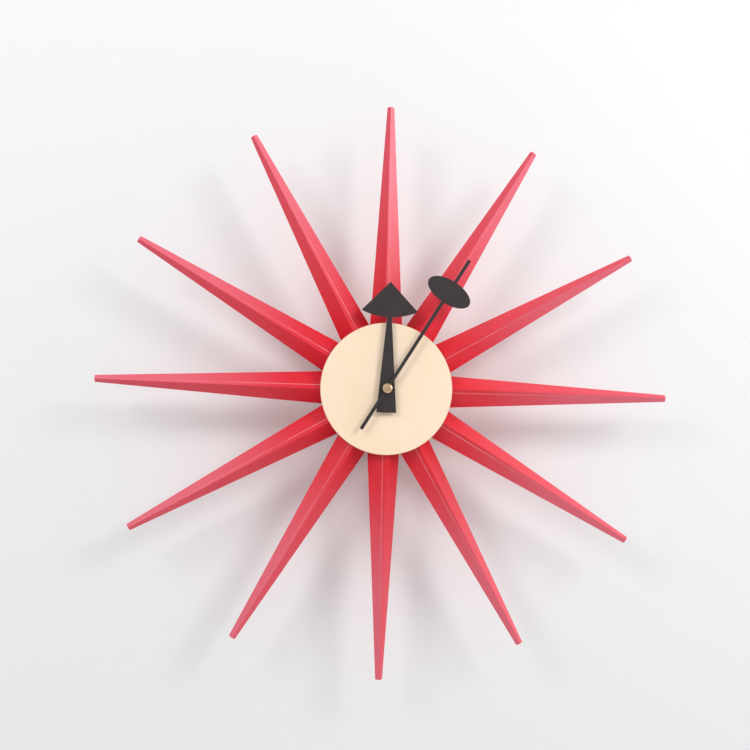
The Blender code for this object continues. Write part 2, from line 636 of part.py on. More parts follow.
def make_motion_work():
    """The wheels that carry the hands and the knob that sets them."""
    low = between(HOUR_WHEEL_LAYER)[0]
    tube = ring(TUBE_BORE, TUBE_RADIUS, low, TUBE_FRONT)
    wheel_hole = circle((TUBE_BORE + TUBE_RADIUS) / 2)
    teeth = plate([gear(HOUR_TEETH, HOUR_MODULE, HOUR_PHASE), wheel_hole], *between(HOUR_WHEEL_LAYER))
    teeth.data.transform(Matrix.Translation((0, 0, 0.02 * MM)))
    part("hour_wheel", baked(joined(tube, teeth)), GEAR_PLASTIC)

    shoulder_low = between(CANNON_LAYER)[0]
    thread_top = CAP_BACK + 0.6 * CAP_HEIGHT
    arbor = turned([
        (0, thread_top), (ARBOR_THREAD_RADIUS, thread_top), (ARBOR_THREAD_RADIUS, SHOULDER),
        (ARBOR_RADIUS, SHOULDER), (ARBOR_RADIUS, shoulder_low + 0.1 * MM),
        (ARBOR_REAR_RADIUS, shoulder_low + 0.1 * MM), (ARBOR_REAR_RADIUS, COVER + GAP),
        (PIN_RADIUS, COVER + GAP), (PIN_RADIUS, COVER - PIN_REACH + PIN_END),
        (0, COVER - PIN_REACH + PIN_END),
    ], ring=False)
    cannon = toothed(CANNON_TEETH, MOTION_MODULE, CANNON_PHASE, CANNON_LAYER, CENTRE_AT)
    part("minute_arbor", baked(joined(arbor, cannon)), BRASS)

    wheel = toothed(MINUTE_TEETH, MOTION_MODULE, MINUTE_PHASE, MINUTE_WHEEL_LAYER, MINUTE_AT)
    pinion = toothed(MINUTE_PINION, HOUR_MODULE, MINUTE_PINION_PHASE, MINUTE_PINION_LAYER, MINUTE_AT)
    bore = rod(POST_RADIUS + RUN, PLATE - 5 * MM, PLATE, MINUTE_AT, ROUND_PIN)
    part("minute_wheel", baked(cut(joined(wheel, pinion), bore)), GEAR_PLASTIC)

    grip = KNOB_RADIUS / (KNOB_GRIPS / 2 + ADDENDUM)
    head_front = CASE_BACK - GAP
    head = plate([gear(KNOB_GRIPS, grip, 0.0)], head_front - KNOB_THICK, head_front, KNOB_AT)
    shaft = rod(KNOB_SHAFT, CASE_BACK - 2 * GAP, PLATE - CANNON_LAYER[1] + 0.1 * MM, KNOB_AT, ROUND_PIN)
    front = rod(PIN_RADIUS, PLATE - CANNON_LAYER[1], PLATE + PIN_REACH - PIN_END, KNOB_AT, ROUND_PIN)
    pinion = toothed(KNOB_TEETH, MOTION_MODULE, KNOB_PHASE, CANNON_LAYER, KNOB_AT)
    part("setting_knob", baked(joined(head, shaft, pinion, front)), GEAR_PLASTIC)


def make_train():
    """The wheels between the motor and the centre wheel, which slips on the minute arbor."""
    bore = ARBOR_REAR_RADIUS + RUN
    hub = ring(bore, CENTRE_HUB, COVER + GAP, PLATE - CENTRE_LAYER[0] - 0.02 * MM)
    rim = gear(CENTRE_TEETH, CENTRE_MODULE, CENTRE_PHASE)
    centre = plate([rim, circle((bore + CENTRE_HUB) / 2)], *between(CENTRE_LAYER))
    part("centre_wheel", baked(joined(hub, centre)), GEAR_PLASTIC)
    low, high = between(SPRING_LAYER)
    inner = ARBOR_REAR_RADIUS + GAP
    outer, sheet = SPRING_RADIUS, SPRING_SHEET
    spring = [(outer, high), (outer, high - sheet), (inner, low), (inner, low + sheet)]
    part("clutch_spring", turned(spring), BRASS)
    wheels = [
        ("third_wheel", THIRD_AT, THIRD_TEETH, THIRD_LAYER,
         THIRD_PINION, CENTRE_MODULE, THIRD_PINION_PHASE, THIRD_PINION_LAYER),
        ("seconds_wheel", SECONDS_AT, SECONDS_TEETH, SECONDS_LAYER,
         SECONDS_PINION, TRAIN_MODULE, SECONDS_PINION_PHASE, SECONDS_PINION_LAYER),
        ("idler_wheel", IDLER_AT, IDLER_TEETH, IDLER_LAYER,
         IDLER_PINION, TRAIN_MODULE, IDLER_PINION_PHASE, IDLER_PINION_LAYER),
    ]
    for name, at, teeth, layer, leaves, module, phase, pinion_layer in wheels:
        wheel = toothed(teeth, TRAIN_MODULE, 0.0, layer, at)
        pinion = toothed(leaves, module, phase, pinion_layer, at)
        part(name, baked(joined(wheel, pinion, pin(at))), GEAR_PLASTIC)
    rotor = toothed(ROTOR_PINION, TRAIN_MODULE, ROTOR_PINION_PHASE, ROTOR_PINION_LAYER, ROTOR_AT)
    part("rotor_pinion", baked(joined(rotor, pin(ROTOR_AT))), GEAR_PLASTIC)
    magnet = ring(PIN_RADIUS + GAP, MAGNET_RADIUS, *between(MAGNET_LAYER), ROTOR_AT)
    part("rotor_magnet", magnet, FERRITE)


# --- The motor's iron and wire, the board and the battery -----------------------------------------
STATOR_RING = 4.0 * MM
STATOR_HOLE = 2.6 * MM
STATOR_LUG = 50  # degrees from the rotor's side to the lug on its ring
STATOR_ARM = (0.2 * MM, 3.6 * MM)  # the arm's edges, below the rotor's middle
STATOR_LEFT = 2.1 * MM - CASE_INNER
UPRIGHT_WIDTH = 3.7 * MM
SPOOL_BORE, SPOOL_BARREL, SPOOL_FLANGE = 1.9 * MM, 2.5 * MM, 4.5 * MM
SPOOL_CHEEK = 0.8 * MM
COIL_Y = CASE_INNER - SPOOL_FLANGE - GAP
COIL_LEFT, COIL_RIGHT = STATOR_LEFT + UPRIGHT_WIDTH + SPOOL_CHEEK, -3 * MM
CORE_HALF = 1.4 * MM
COIL_RADIUS = 4.2 * MM


def lying(obj, at):
    """Turns an upright shape so that its height runs along X through the point at."""
    obj.data.transform(Matrix.Translation(at) @ Matrix.Rotation(math.pi / 2, 4, "Y"))
    return obj


def make_motor():
    x, y = ROTOR_AT
    top, reach = COIL_Y + CORE_HALF, STATOR_RING * math.cos(math.radians(STATOR_LUG))
    arm_high, arm_low = (y - below for below in STATOR_ARM)
    high, low = (180 + math.degrees(math.asin(below / STATOR_RING)) for below in STATOR_ARM)
    outline = [(STATOR_LEFT, arm_low), *arc(ROTOR_AT, STATOR_RING, low, 360 + STATOR_LUG, 15)]
    outline += [(x + reach, top), (x - reach, top)]
    outline += arc(ROTOR_AT, STATOR_RING, 180 - STATOR_LUG, high, 5)
    upright = STATOR_LEFT + UPRIGHT_WIDTH
    outline += [(upright, arm_high), (upright, top), (STATOR_LEFT, top)]
    part("stator", plate([outline, circle(STATOR_HOLE, ROTOR_AT)], *between(STATOR_LAYER)), STEEL)

    core_y = (COIL_Y - CORE_HALF, COIL_Y + CORE_HALF)
    part("coil_core", block((STATOR_LEFT, x + reach), core_y, between(CORE_LAYER)), STEEL)

    left, right, cheek = COIL_LEFT, COIL_RIGHT, SPOOL_CHEEK
    centre = (0, COIL_Y, sum(between(CORE_LAYER)) / 2)
    spool = [
        (SPOOL_FLANGE, right), (SPOOL_FLANGE, right - cheek), (SPOOL_BARREL, right - cheek),
        (SPOOL_BARREL, left + cheek), (SPOOL_FLANGE, left + cheek), (SPOOL_FLANGE, left),
        (SPOOL_BORE, left), (SPOOL_BORE, right),
    ]
    part("coil_spool", lying(turned(spool), centre), GEAR_PLASTIC)
    wire = ring(SPOOL_BARREL + GAP, COIL_RADIUS, left + cheek + GAP, right - cheek - GAP)
    part("coil_winding", lying(wire, centre), COPPER)


BOARD_LEFT = 12.6 * MM
BOARD_RIGHT = CASE_INNER - CONTACT_THICK - 3 * GAP
BOARD_LOW, BOARD_HIGH = BAY_TOP + BAY_WALL + 0.8 * MM, CASE_INNER - 0.6 * MM
CRYSTAL_RADIUS, CRYSTAL_LENGTH = 1.0 * MM, 6 * MM
CHIP_RADIUS, CHIP_HEIGHT = 3.0 * MM, 1.3 * MM


def make_board():
    left, right, low, high = BOARD_LEFT, BOARD_RIGHT, BOARD_LOW, BOARD_HIGH
    board = plate([[(left, low), (right, low), (right, high), (left, high)]], *between(BOARD_LAYER))
    part("circuit_board", board, BOARD)
    back = PLATE - BOARD_LAYER[1] - GAP
    can_at = (left + 3.4 * MM, high - 3.5 * MM, back - CRYSTAL_RADIUS)
    can = lying(rod(CRYSTAL_RADIUS, 0, CRYSTAL_LENGTH, facets=ROUND_PIN), can_at)
    part("quartz_crystal", can, STEEL)
    drop = ((1.0, 0.0), (0.9, 0.46), (0.53, 0.85), (0.0, 1.0))
    blob = [(CHIP_RADIUS * out, back - CHIP_HEIGHT * down) for out, down in drop]
    chip_at = ((left + right) / 2, low + 7.3 * MM)
    part("chip_resin", turned([(0, back), *blob], chip_at, ring=False), RESIN)


def strip(points, thick):
    """Outline of a bent strip to the left of its path, mitred at its bends."""
    side = []
    for i, (x, y) in enumerate(points):
        before = points[max(i - 1, 0)]
        after = points[min(i + 1, len(points) - 1)]
        ways = [(b[0] - a[0], b[1] - a[1]) for a, b in ((before, (x, y)), ((x, y), after)) if a != b]
        normals = [(-dy / math.hypot(dx, dy), dx / math.hypot(dx, dy)) for dx, dy in ways]
        nx, ny = sum(n[0] for n in normals), sum(n[1] for n in normals)
        scale = thick * len(normals) / (nx**2 + ny**2)
        side.append((x + nx * scale, y + ny * scale))
    return points + side[::-1]


PLUS_TAIL = 8 * MM  # length of the plus contact beside the board


def make_contacts():
    """Bent strips that press on the battery's ends and lead to the board."""
    outer = CASE_INNER - GAP
    bottom, over = -CASE_INNER + GAP, BAY_TOP + BAY_WALL + GAP
    plus = strip([(outer, bottom), (outer, over + PLUS_TAIL)], CONTACT_THICK)
    part("plus_contact", plate([plus], *between(CONTACT_LAYER)), STEEL)
    steps = [i / 6 for i in range(7)]
    height = BAY_TOP - bottom
    bow = [(CONTACT_BOW * math.sin(math.pi * i) - outer, bottom + height * i) for i in steps]
    path = [(BOARD_LEFT - 2 * GAP, over), (-outer, over), *reversed(bow)]
    minus = strip(path, CONTACT_THICK)
    part("minus_contact", plate([minus], *between(CONTACT_LAYER)), STEEL)


def make_battery():
    length = BATTERY_LENGTH
    round_over = 0.5 * MM
    nub_end = length + BATTERY_NUB
    nub = [(0, nub_end), (BATTERY_NUB_RADIUS, nub_end), (BATTERY_NUB_RADIUS, length)]
    body = [
        (BATTERY_RADIUS - round_over, length), (BATTERY_RADIUS, length - round_over),
        (BATTERY_RADIUS, round_over), (BATTERY_RADIUS - round_over, 0), (0, 0),
    ]
    cell = lying(turned(nub + body, ring=False), (0, 0, 0))
    cell.location = (CELL_START - CASE_INNER, BATTERY_Y, BATTERY_Z)
    part("battery", cell, BATTERY_WRAP)


# --- The movement's case --------------------------------------------------------------------------
NOTCH = 2.4 * MM  # width of the ways for the contacts past the battery's wall


def make_case_front():
    """Box open at the back: front plate, sides, and the wall beside the battery."""
    half, rim = CASE_HALF, COVER + GAP
    walls = plate([rounded_box(half, half, CASE_CORNER)], rim, CASE_FRONT)
    inner = CASE_INNER
    wheels = block((-inner, inner), (BAY_TOP + BAY_WALL, inner), (rim - CASE_WALL, PLATE))
    bay = block((-inner, inner), (-inner, BAY_TOP), (rim - CASE_WALL, PLATE))
    notch_y = (BAY_TOP - CASE_WALL, BAY_TOP + BAY_WALL + CASE_WALL)
    notch_z = (rim - CASE_WALL, PLATE - CONTACT_LAYER[0] + GAP)
    edge = inner - NOTCH
    notches = [block((-inner, -edge), notch_y, notch_z), block((edge, inner), notch_y, notch_z)]
    cut(walls, wheels, bay, *notches)
    bush = rod(BUSH_RADIUS + GAP, PLATE - CASE_WALL, CASE_FRONT + CASE_WALL)
    seat = rod(BUSH_FLANGE + GAP, PLATE - CASE_WALL, PLATE + BUSH_FLANGE_THICK + GAP)
    cut(walls, bush, seat)
    for at in (THIRD_AT, SECONDS_AT, IDLER_AT, ROTOR_AT, KNOB_AT):
        cut(walls, rod(PIN_RADIUS + RUN, PLATE - CASE_WALL, PLATE + PIN_REACH, at, ROUND_PIN))
    stator_y = ROTOR_AT[1] - sum(STATOR_ARM) / 2
    stator_ends = (STATOR_LEFT + UPRIGHT_WIDTH / 2, ROTOR_AT[0] - 1.5 * STATOR_RING)
    inset = 3.5 * MM  # of the pegs from the board's corners
    board_ends = ((BOARD_LEFT + inset, BOARD_LOW + inset), (BOARD_RIGHT - inset, BOARD_HIGH - inset))
    posts = [(MINUTE_AT, POST_RADIUS, MINUTE_WHEEL_LAYER[1])]
    posts += [((x, stator_y), PEG_RADIUS, STATOR_LAYER[0] - GAP) for x in stator_ends]
    posts += [(at, PEG_RADIUS, BOARD_LAYER[0] - GAP) for at in board_ends]
    for at, radius, depth in posts:
        joined(walls, rod(radius, PLATE - depth, PLATE + CASE_WALL / 2, at, ROUND_PIN))
    return part("case_front", baked(walls), CASE_PLASTIC)


def make_case_cover():
    """Plate that closes the wheels in and leaves the battery's bay open."""
    half, bottom = CASE_HALF, BAY_TOP + GAP
    outline = [(-half, bottom), (half, bottom)]
    outline += arc((half - CASE_CORNER, half - CASE_CORNER), CASE_CORNER, 0, 90, 4)
    outline += arc((CASE_CORNER - half, half - CASE_CORNER), CASE_CORNER, 90, 180, 4)
    cover = plate([outline, circle(KNOB_SHAFT + GAP, KNOB_AT, 16)], CASE_BACK, COVER)
    for at in (CENTRE_AT, THIRD_AT, SECONDS_AT, IDLER_AT, ROTOR_AT):
        cut(cover, rod(PIN_RADIUS + RUN, COVER - PIN_REACH, COVER + CASE_WALL, at, ROUND_PIN))
    return part("case_cover", baked(cover), CASE_PLASTIC)


make_rays()
make_cup()
make_dial()
make_strap()
make_clamp()
make_hands()
make_motion_work()
make_train()
make_motor()
make_board()
make_contacts()
make_battery()
make_case_front()
make_case_cover()
bpy.context.view_layer.update()
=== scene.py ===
"""Looks of the sunburst wall clock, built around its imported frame.

Each new piece is made lying on its back, as on the bench: X to three o'clock, Y to twelve o'clock,
Z out from the wall. STAND then turns it up against the wall, which is the plane Y = 0 of the frame.
"""
import math

import bmesh
import bpy
from mathutils import Matrix, Vector


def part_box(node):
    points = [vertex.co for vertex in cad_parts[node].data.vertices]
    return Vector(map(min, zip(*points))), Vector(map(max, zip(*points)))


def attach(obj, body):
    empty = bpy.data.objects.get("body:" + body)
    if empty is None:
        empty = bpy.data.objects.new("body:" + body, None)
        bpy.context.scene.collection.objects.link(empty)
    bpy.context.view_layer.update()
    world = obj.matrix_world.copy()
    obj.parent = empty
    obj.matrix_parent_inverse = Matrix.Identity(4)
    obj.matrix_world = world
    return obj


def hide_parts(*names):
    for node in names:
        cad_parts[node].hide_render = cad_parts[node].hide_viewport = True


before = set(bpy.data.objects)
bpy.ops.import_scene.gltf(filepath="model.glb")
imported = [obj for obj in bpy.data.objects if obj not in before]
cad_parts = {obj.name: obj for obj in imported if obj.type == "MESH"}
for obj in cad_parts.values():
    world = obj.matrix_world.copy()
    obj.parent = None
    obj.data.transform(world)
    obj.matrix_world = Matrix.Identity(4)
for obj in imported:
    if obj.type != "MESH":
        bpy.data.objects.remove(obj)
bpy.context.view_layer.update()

MM = 0.001
STAND = Matrix.Rotation(math.pi / 2, 4, "X")
GAP = 0.3 * MM  # between pieces that touch
FINE, ROUND = 192, 64  # facets of the cup and dial, and of the small round pieces

# --- Sizes that the frame's boxes don't give ------------------------------------------------------
RAY_ROOT_WIDTH = 27.2 * MM  # across the corners, where a ray meets the cup
RAY_TIP_WIDTH = 6.15 * MM
RAY_TWIST = math.radians(8)  # a ray turns about its length as its screw pulls up
RAY_EDGE = 0.55 * MM  # sanded and lacquered edges
CUP_SHEET, CUP_CORNER, CUP_LIP = 1.0 * MM, 2.0 * MM, 8.0 * MM
SCREW_RADIUS, SCREW_HEAD_RADIUS, SCREW_HEAD = 2.0 * MM, 3.8 * MM, 2.4 * MM
STRAP_SCREW_RADIUS, STRAP_SCREW_HEAD = 1.5 * MM, 2.7 * MM
KEYHOLE_HEIGHT, KEYHOLE_RADIUS, KEYHOLE_SLOT, KEYHOLE_RISE = 24 * MM, 4.6 * MM, 2.25 * MM, 10 * MM
BUSH_RADIUS, BUSH_BORE = 3.5 * MM, 2.8 * MM
FINE_PITCH, FINE_THREAD = 0.6 * MM, 0.22 * MM  # pitch and depth of the metal threads
TUBE_RADIUS, THREAD_RADIUS = 2.5 * MM, 1.2 * MM
# The hands' places are distances from the axis, and a HALF is half of a width.
HOUR_CORNER, HOUR_CORNER_HALF, HOUR_BELLY = 62.8 * MM, 22.9 * MM, 57.7 * MM
HOUR_NECK_HALF, HOUR_TAIL, HOUR_TAIL_HALF = 1.85 * MM, 19.5 * MM, 8.0 * MM
MINUTE_TAIL, MINUTE_HALF, HUB_RADIUS = 38.9 * MM, 1.4 * MM, 4.7 * MM
OVAL_CENTRE, OVAL_ACROSS, OVAL_ALONG = 93.1 * MM, 19.5 * MM, 9.6 * MM  # centre and half axes
CASE_CORNER, CASE_WALL = 2.8 * MM, 1.4 * MM
BAY_WALL = 1.2 * MM  # between the wheels and the battery's bay
MARK_RISE = 0.35 * MM  # of the raised marks on the cover
KNOB_THICK, KNOB_SHAFT_RADIUS = 3.0 * MM, 1.2 * MM
PINION_TEETH, PINION_MODULE, PINION_WIDTH = 12, 0.3 * MM, 1.5 * MM
SLEEVE_FILM, SLEEVE_ROLL = 0.12 * MM, 0.9 * MM  # the sleeve's rolled ends cover the shoulders
NUB_HEIGHT, NUB_RADIUS = 1.2 * MM, 2.7 * MM


# --- Reading the frame ----------------------------------------------------------------------------
def heights(node):
    """Lowest and highest distance of a node from the wall."""
    low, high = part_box(node)
    return -high.y, -low.y


def middle(node):
    """Middle of a node's box, seen from the front, as bench X and Y."""
    low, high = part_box(node)
    return (low.x + high.x) / 2, (low.z + high.z) / 2


def reach(node):
    """Half of a node's width, seen from the front."""
    low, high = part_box(node)
    return (high.x - low.x) / 2


def farthest(node):
    """Distance and clockwise angle of the end of a node that is farthest from the clock's axis."""
    places = [Vector((v.co.x, v.co.z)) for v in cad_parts[node].data.vertices]
    most = max(place.length for place in places)
    ends = [place for place in places if place.length > most - 0.6 * MM]
    end = sum(ends, Vector((0.0, 0.0))) / len(ends)
    return most, math.atan2(end.x, end.y)


DIAL_BACK, DIAL_FACE = heights("dial")
DIAL_RADIUS = reach("dial")
LIP_BACK, CUP_FRONT = heights("housing_cup")
CUP_RADIUS = reach("housing_cup")
RAY_AXIS = sum(heights("ray_screw_12")) / 2
RAY_TIP = farthest("ray_12")[0]
STRAP_SCREW_Y = middle("strap_screw_top")[1]  # the other screw is as far below the axis
RAY_TURNS = {hour: farthest(f"ray_{hour:02d}")[1] for hour in range(1, 13)}  # clockwise


# --- Colours, nodes and materials -----------------------------------------------------------------
WAVE_LENGTH = math.tau / 20  # of a wave texture at scale 1


def colour(code):
    """Linear RGBA from an sRGB hex value."""
    parts = [int(code[i:i + 2], 16) / 255 for i in (1, 3, 5)]
    return (*[c / 12.92 if c <= 0.04045 else ((c + 0.055) / 1.055) ** 2.4 for c in parts], 1.0)


def put(node, inputs):
    """Sets a node's inputs, each to a value or to another node's output."""
    for key, value in inputs.items():
        if isinstance(value, bpy.types.NodeSocket):
            node.id_data.links.new(value, node.inputs[key])
        else:
            node.inputs[key].default_value = value


def add(tree, kind, inputs, out=0, **settings):
    """Adds a shader node with its settings and inputs, and gives one of its outputs. Numbered inputs
    are, for MapRange, 0 the value, 1 and 2 its range and 3 and 4 the new range; for Mix, 0 the factor
    and 6 and 7 the two colours."""
    node = tree.nodes.new("ShaderNode" + kind)
    for name, value in settings.items():
        setattr(node, name, value)
    put(node, inputs)
    return node.outputs[out]


def material(name, values):
    """New material, its shader with the values that hold all over it, its nodes, and the place on
    the piece."""
    made = bpy.data.materials.new(name)
    made.use_nodes = True
    shader = made.node_tree.nodes["Principled BSDF"]
    put(shader, values)
    return made, shader, made.node_tree, add(made.node_tree, "TexCoord", {}, "Object")


def lacquered_wood():
    """Satin red lacquer sprayed on beech: the grain stays faintly raised along the ray, the film
    has the low ripple of a sprayed coat, the red is painted paler towards the slender tip as a haze
    of light, a painted highlight runs as a pale line along the front and back edges, and a painted
    sheen pales the clockwise face of each ray towards its tip."""
    values = {"IOR": 1.5, "Coat Weight": 0.12, "Coat Roughness": 0.22,
              "Sheen Weight": 0.15, "Sheen Roughness": 0.4}
    made, shader, tree, place = material("satin_red_lacquer_on_beech", values)
    each = add(tree, "ObjectInfo", {}, "Random")
    shift = add(tree, "Math", {0: each, 1: 40.0}, operation="MULTIPLY")  # no two rays alike
    along = add(tree, "Mapping", {"Vector": place, "Scale": (1.0, 0.035, 1.0)})
    noise = {"Vector": along, "W": shift, "Scale": 1 / (0.9 * MM), "Detail": 3.0}
    grain = add(tree, "TexNoise", noise, noise_dimensions="4D")
    noise = {"Vector": place, "W": shift, "Scale": 1 / (2.2 * MM), "Detail": 1.0}
    ripple = add(tree, "TexNoise", noise, noise_dimensions="4D")
    noise = {"Vector": place, "W": shift, "Scale": 1 / (28 * MM), "Detail": 2.0}
    cloud = add(tree, "TexNoise", noise, noise_dimensions="4D")
    outward = add(tree, "SeparateXYZ", {0: place}, "Y")
    # painted haze: the red turns paler towards the tip, standing in for the light and reflections the open
    # tips catch
    tip = add(tree, "MapRange", {0: outward, 1: CUP_RADIUS, 2: RAY_TIP})
    red = add(tree, "Mix", {0: tip, 6: colour("#e20621"), 7: colour("#df5066")}, 2, data_type="RGBA")
    streak = add(tree, "MapRange", {0: grain, 1: 0.3, 2: 0.7, 3: 0.0, 4: 0.35})
    red = add(tree, "Mix", {0: streak, 6: red, 7: colour("#d6081f")}, 2, data_type="RGBA")
    patch = add(tree, "MapRange", {0: cloud, 1: 0.35, 2: 0.65, 3: 0.0, 4: 0.3})
    red = add(tree, "Mix", {0: patch, 6: red, 7: colour("#e4253c")}, 2, data_type="RGBA")
    rough = add(tree, "MapRange", {0: ripple, 1: 0.3, 2: 0.7, 3: 0.40, 4: 0.50})
    relief = add(tree, "Bump", {"Height": grain, "Distance": 0.01 * MM})
    relief = add(tree, "Bump", {"Height": ripple, "Distance": 0.012 * MM, "Normal": relief})
    # painted sheen: the clockwise face of each ray is painted paler towards its tip, standing in for the
    # grazing light it catches
    facing = add(tree, "SeparateXYZ", {0: add(tree, "TexCoord", {}, "Normal")}, "X")
    clockwise_face = add(tree, "MapRange", {0: facing, 1: -0.3, 2: 0.3})
    painted_sheen = add(tree, "MapRange", {0: outward, 1: 0.35 * RAY_TIP, 2: 0.7 * RAY_TIP, 3: 0.0, 4: 0.36})
    painted_sheen = add(tree, "Math", {0: painted_sheen, 1: clockwise_face}, operation="MULTIPLY")
    red = add(tree, "Mix", {0: painted_sheen, 6: red, 7: colour("#e98899")}, 2, data_type="RGBA")
    # painted highlight: a pale line along the front and back edges, strongest near the cup, for the light
    # caught by the rounded ridge
    lean = (math.cos(RAY_TWIST), 0.0, -math.sin(RAY_TWIST))
    across = add(tree, "VectorMath", {0: place, 1: lean}, "Value", operation="DOT_PRODUCT")
    away = add(tree, "Math", {0: across, 1: RAY_AXIS * math.sin(RAY_TWIST)})
    away = add(tree, "Math", {0: away}, operation="ABSOLUTE")  # distance from the front edge's line
    edge = add(tree, "MapRange", {0: away, 1: 0.2 * MM, 2: 0.55 * MM, 3: 0.8, 4: 0.0})
    broken = add(tree, "MapRange", {0: cloud, 1: 0.4, 2: 0.62, 3: 0.35, 4: 1.0})
    edge = add(tree, "Math", {0: edge, 1: broken}, operation="MULTIPLY")
    fade = add(tree, "MapRange", {0: tip, 1: 0.0, 2: 0.75, 3: 1.0, 4: 0.1})
    edge = add(tree, "Math", {0: edge, 1: fade}, operation="MULTIPLY")
    red = add(tree, "Mix", {0: edge, 6: red, 7: colour("#f39ba5")}, 2, data_type="RGBA")
    put(shader, {"Base Color": red, "Roughness": rough, "Normal": relief})
    return made


def dial_enamel():
    """Cream enamel sprayed on the steel disc and stoved: a satin film with a faint orange peel, and
    a painted reflection: a warm line round the front corner of the edge, for the red light of the rays."""
    made, shader, tree, place = material("stoved_cream_enamel", {"IOR": 1.5, "Roughness": 0.5})
    flat = add(tree, "VectorMath", {0: place, 1: (1.0, 1.0, 0.0)}, operation="MULTIPLY")
    out = add(tree, "VectorMath", {0: flat}, "Value", operation="LENGTH")
    peel = add(tree, "TexNoise", {"Vector": place, "Scale": 1 / (1.1 * MM), "Detail": 2.0})
    cloud = add(tree, "TexNoise", {"Vector": place, "Scale": 1 / (35 * MM), "Detail": 2.0})
    patch = add(tree, "MapRange", {0: cloud, 1: 0.35, 2: 0.65})
    cream = add(tree, "Mix", {0: patch, 6: colour("#fbe4ca"), 7: colour("#f8dfc0")}, 2, data_type="RGBA")
    # painted reflection: a warm line on the front corner of the edge, for the red light thrown back by the
    # rays
    start, end = DIAL_RADIUS - 0.55 * MM, DIAL_RADIUS - 0.1 * MM
    edge = add(tree, "MapRange", {0: out, 1: start, 2: end, 3: 0.0, 4: 0.75})
    front = add(tree, "SeparateXYZ", {0: place}, "Z")
    start, end = DIAL_FACE - 0.9 * MM, DIAL_FACE - 0.4 * MM
    corner = add(tree, "MapRange", {0: front, 1: start, 2: end, 3: 0.15})
    edge = add(tree, "Math", {0: edge, 1: corner}, operation="MULTIPLY")
    cream = add(tree, "Mix", {0: edge, 6: cream, 7: colour("#dd9468")}, 2, data_type="RGBA")
    relief = add(tree, "Bump", {"Height": peel, "Distance": 0.012 * MM})
    put(shader, {"Base Color": cream, "Normal": relief})
    return made


def hand_paint():
    """Black paint stoved on stamped aluminium: charcoal in soft light, with the fine dry grain of
    the spray."""
    made, shader, tree, place = material("stoved_black_paint", {"IOR": 1.48})
    grain = add(tree, "TexNoise", {"Vector": place, "Scale": 1 / (0.5 * MM), "Detail": 4.0})
    cloud = add(tree, "TexNoise", {"Vector": place, "Scale": 1 / (14 * MM), "Detail": 2.0})
    patch = add(tree, "MapRange", {0: cloud, 1: 0.35, 2: 0.65})
    black = add(tree, "Mix", {0: patch, 6: colour("#281f20"), 7: colour("#2e2526")}, 2, data_type="RGBA")
    rough = add(tree, "MapRange", {0: grain, 1: 0.3, 2: 0.7, 3: 0.48, 4: 0.6})
    relief = add(tree, "Bump", {"Height": grain, "Distance": 0.01 * MM})
    put(shader, {"Base Color": black, "Roughness": rough, "Normal": relief})
    return made


def turned_brass(name, axis):
    """Brass turned in a lathe: fine rings from the tool round the axis, which draw the highlight out
    into two fans, and a light uneven tarnish."""
    made, shader, tree, place = material(name, {"Metallic": 1.0})
    feed = 0.22 * MM  # the real one is finer; this is what still shows
    wave = {"Vector": place, "Scale": WAVE_LENGTH / feed, "Distortion": 0.4}
    rings = add(tree, "TexWave", wave, "Fac", wave_type="RINGS", rings_direction=axis)
    tarnish = add(tree, "TexNoise", {"Vector": place, "Scale": 1 / (3 * MM), "Detail": 3.0})
    patch = add(tree, "MapRange", {0: tarnish, 1: 0.35, 2: 0.7})
    metal = add(tree, "Mix", {0: patch, 6: colour("#e6c9a4"), 7: colour("#d0ab80")}, 2, data_type="RGBA")
    rough = add(tree, "MapRange", {0: tarnish, 1: 0.3, 2: 0.7, 3: 0.24, 4: 0.36})
    relief = add(tree, "Bump", {"Height": rings, "Distance": 0.008 * MM})
    put(shader, {"Base Color": metal, "Roughness": rough, "Normal": relief})
    return made


def zinc_plate():
    """Steel with bright zinc plating: a blue-grey metal, clouded by the passivation, with the fine
    scratches of barrel plating."""
    made, shader, tree, place = material("bright_zinc_plated_steel", {"Metallic": 1.0})
    cloud = add(tree, "TexNoise", {"Vector": place, "Scale": 1 / (5 * MM), "Detail": 4.0})
    long = add(tree, "Mapping", {"Vector": place, "Scale": (1.0, 0.08, 1.0)})
    scratch = add(tree, "TexNoise", {"Vector": long, "Scale": 1 / (0.35 * MM), "Detail": 2.0})
    patch = add(tree, "MapRange", {0: cloud, 1: 0.35, 2: 0.65})
    metal = add(tree, "Mix", {0: patch, 6: colour("#c3c7cc"), 7: colour("#a9b0b8")}, 2, data_type="RGBA")
    rough = add(tree, "MapRange", {0: scratch, 1: 0.3, 2: 0.7, 3: 0.25, 4: 0.42})
    relief = add(tree, "Bump", {"Height": scratch, "Distance": 0.006 * MM})
    put(shader, {"Base Color": metal, "Roughness": rough, "Normal": relief})
    return made


def cup_enamel():
    """Grey enamel over spun steel: satin, with the rings of the spinning tool under the film and a
    little dust in the open back."""
    made, shader, tree, place = material("grey_enamel_on_spun_steel", {"IOR": 1.5})
    wave = {"Vector": place, "Scale": WAVE_LENGTH / (1.6 * MM), "Distortion": 0.6}
    rings = add(tree, "TexWave", wave, "Fac", wave_type="RINGS", rings_direction="Z")
    dust = add(tree, "TexNoise", {"Vector": place, "Scale": 1 / (9 * MM), "Detail": 5.0})
    peel = add(tree, "TexNoise", {"Vector": place, "Scale": 1 / (0.9 * MM), "Detail": 1.0})
    patch = add(tree, "MapRange", {0: dust, 1: 0.4, 2: 0.7, 3: 0.0, 4: 0.4})
    grey = add(tree, "Mix", {0: patch, 6: colour("#8a9094"), 7: colour("#9c9e9d")}, 2, data_type="RGBA")
    rough = add(tree, "MapRange", {0: dust, 1: 0.3, 2: 0.7, 3: 0.42, 4: 0.58})
    relief = add(tree, "Bump", {"Height": rings, "Distance": 0.015 * MM})
    relief = add(tree, "Bump", {"Height": peel, "Distance": 0.01 * MM, "Normal": relief})
    put(shader, {"Base Color": grey, "Roughness": rough, "Normal": relief})
    return made


